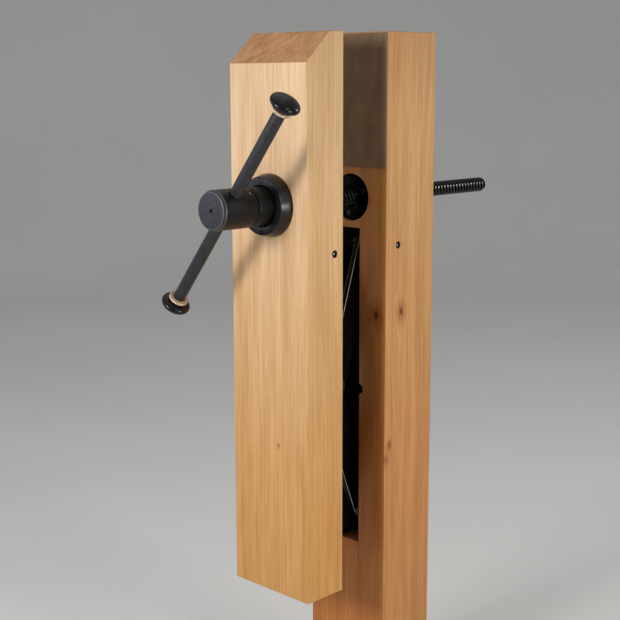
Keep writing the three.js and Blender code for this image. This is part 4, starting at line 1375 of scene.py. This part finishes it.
def area_light(name, place, target, size, watts, colour, spread):
    """A rectangular light at a place, turned towards a target."""
    data = bpy.data.lights.new(name, "AREA")
    data.shape = "RECTANGLE"
    data.size, data.size_y = size
    data.energy = watts
    data.spread = math.radians(spread)
    data.color = colour
    aim(name, data, place, target - Vector(place))


def make_lights():
    """The studio lights round the object, and an even white world."""
    for light in LIGHTS:
        area_light(*light)
    world = bpy.data.worlds.new("studio")
    world.use_nodes = True
    background = world.node_tree.nodes["Background"]
    background.inputs["Color"].default_value = (1.0, 1.0, 1.0, 1.0)
    background.inputs["Strength"].default_value = WORLD_STRENGTH
    bpy.context.scene.world = world
    bpy.context.scene.view_settings.view_transform = "Standard"


def make_camera():
    """A long lens at standing height, to the right of the front, looking slightly down."""
    azimuth = math.radians(CAMERA_AZIMUTH)
    elevation = math.radians(CAMERA_ELEVATION)
    roll = Matrix.Rotation(math.radians(CAMERA_ROLL), 3, "Z")
    back = Vector((
        math.sin(azimuth) * math.cos(elevation),
        -math.cos(azimuth) * math.cos(elevation),
        math.sin(elevation),
    ))
    data = bpy.data.cameras.new("camera")
    data.sensor_width = 36
    data.lens = CAMERA_LENS
    data.clip_start = 0.05
    data.clip_end = 50
    camera = aim("camera", data, CAMERA_TARGET + back * CAMERA_DISTANCE, -back)
    camera.rotation_quaternion @= roll.to_quaternion()
    bpy.context.scene.camera = camera


# ---- Assembly -----------------------------------------------------------------------------


def make_wood():
    """The two boards' woods: a redder one for the leg and a paler one for the chop."""
    leg_lo, leg_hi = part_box("leg_post")
    chop_lo, chop_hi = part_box("chop")
    # The slot boxes below are painted near-black inside as shade.
    reach = SLOT_HALF_WIDTH + 9 * MM
    left, right = HARDWARE_X - reach, HARDWARE_X + reach
    bottom, top = SLOT_BOTTOM + 0.5 * MM, SLOT_TOP + 1 * MM
    leg_floor = LEG_FRONT + LEG_SLOT_DEPTH + 1 * MM
    chop_floor = CHOP_BACK - CHOP_SLOT_DEPTH - 1 * MM
    leg = wood(
        "leg_wood",
        pale=(0.71, 0.435, 0.210), deep=(0.55, 0.300, 0.122),
        foot_pale=(0.61, 0.300, 0.110), foot_deep=(0.47, 0.200, 0.062),
        heart=(leg_lo.x - 0.035, leg_hi.y + 0.06),
        knots=(
            ((0.0467, LEG_FRONT, 0.527), 4.2 * MM),
            ((leg_hi.x, -0.0156, 0.530), 3.3 * MM),
            ((leg_hi.x, -0.0358, 0.364), 1.6 * MM),
            ((leg_hi.x - 1 * MM, -0.0405, 0.346), 1.5 * MM),
        ),
        # Painted shade on the leg's front face, and painted light and shade up its sides.
        front=LEG_FRONT,
        side=(0.74, 0.88, (1.0, 1.0, 1.0), (0.85, 0.77, 0.70)),
        slot_shade_box=((left, LEG_FRONT + 0.7 * MM, bottom), (right, leg_floor, top)),
    )
    chop = wood(
        "chop_wood",
        pale=(0.83, 0.605, 0.410), deep=(0.665, 0.437, 0.240),
        foot_pale=(0.645, 0.355, 0.130), foot_deep=(0.505, 0.250, 0.071),
        heart=(chop_lo.x - 0.03, chop_hi.y + 0.09),
        knots=(((0.0143, CHOP_FRONT, 0.3844), 0.9 * MM),),
        streak=(0.0108, chop_hi.z - BEVEL_HEIGHT, 0.0094, 0.0241),
        # Painted light and shade up the chop's sides, and its slot painted near-black inside as
        # shade.
        side=(0.62, 0.86, (1.08, 1.06, 0.97), (0.89, 0.82, 0.69)),
        slot_shade_box=((left, chop_floor, bottom), (right, CHOP_BACK - 0.7 * MM, top)),
    )
    return leg, chop


def make_everything():
    """Every material and every fine piece."""
    leg_wood, chop_wood = make_wood()
    satin = black_steel("black_oxide")
    # The hub's body beyond the chamfer is painted darker than its face, as shade.
    hub_steel_with_painted_shade = black_steel("black_oxide_hub", tone=(0.049, 0.051, 0.060), rough=0.42, marks=0.8,
                              darker=(HUB_CHAMFER_LENGTH, 0.3),
                              rubbed=((HUB_RADIUS - HUB_CHAMFER, 0),
                                      (HUB_RADIUS, HUB_CHAMFER_LENGTH)))
    oiled = gloss_black("oiled_black")
    thread = gloss_black("oiled_thread", tone=(0.002, 0.002, 0.0024), rough=0.13,
                         shine=0.3, rubbed=SCREW_RADIUS)
    nut_black = gloss_black("nut_black", tone=(0.0015, 0.0015, 0.0018), rough=0.14, shine=0.03)
    grub = gloss_black("grub_black", socket=1.5 * MM)
    screw_head = gloss_black("screw_black", socket=1.2 * MM)
    flange_black = black_steel("black_oxide_flange", tone=(0.031, 0.031, 0.034), rough=0.29,
                               marks=0.45, wear=0.35)
    plate = plate_steel("plate_black")
    steel = ground_steel("ground_steel")
    dull_steel = ground_steel("dull_steel", tone=(0.09, 0.088, 0.085))
    bronze = sintered_bronze("oil_bronze")
    make_leg(leg_wood)
    make_chop(chop_wood)
    make_liner(suede("suede"))
    make_hub(hub_steel_with_painted_shade, grub)
    make_screw(thread)
    make_collar(steel, steel)
    make_flange(flange_black, screw_head)
    make_nut(nut_black, screw_head)
    make_thrust_washers(bronze)
    make_handle(satin, oiled, stacked_leather("stacked_leather"))
    leg_base = Matrix.Translation(LEG_PIVOT) @ Matrix.Rotation(-ARM_TILT, 4, "X")
    chop_base = Matrix.Translation(CHOP_PIVOT) @ Matrix.Rotation(ARM_TILT, 4, "X")
    arm_materials = (plate, bronze, oiled)
    make_arm("leg", 1, leg_base, CENTRE_BOLT_RADIUS, arm_materials)
    make_arm("chop", -1, chop_base, CENTRE_SLOT_RADIUS, arm_materials)
    make_centre_bolt(leg_base, satin)
    make_pivot("leg", LEG_PIVOT, high("leg_post").x, steel, grub)
    make_pivot("chop", CHOP_PIVOT, high("chop").x, steel, grub)
    make_wear_plate("leg", -1, dull_steel)
    make_wear_plate("chop", 1, dull_steel)


make_camera()
make_lights()
make_stage()
make_everything()
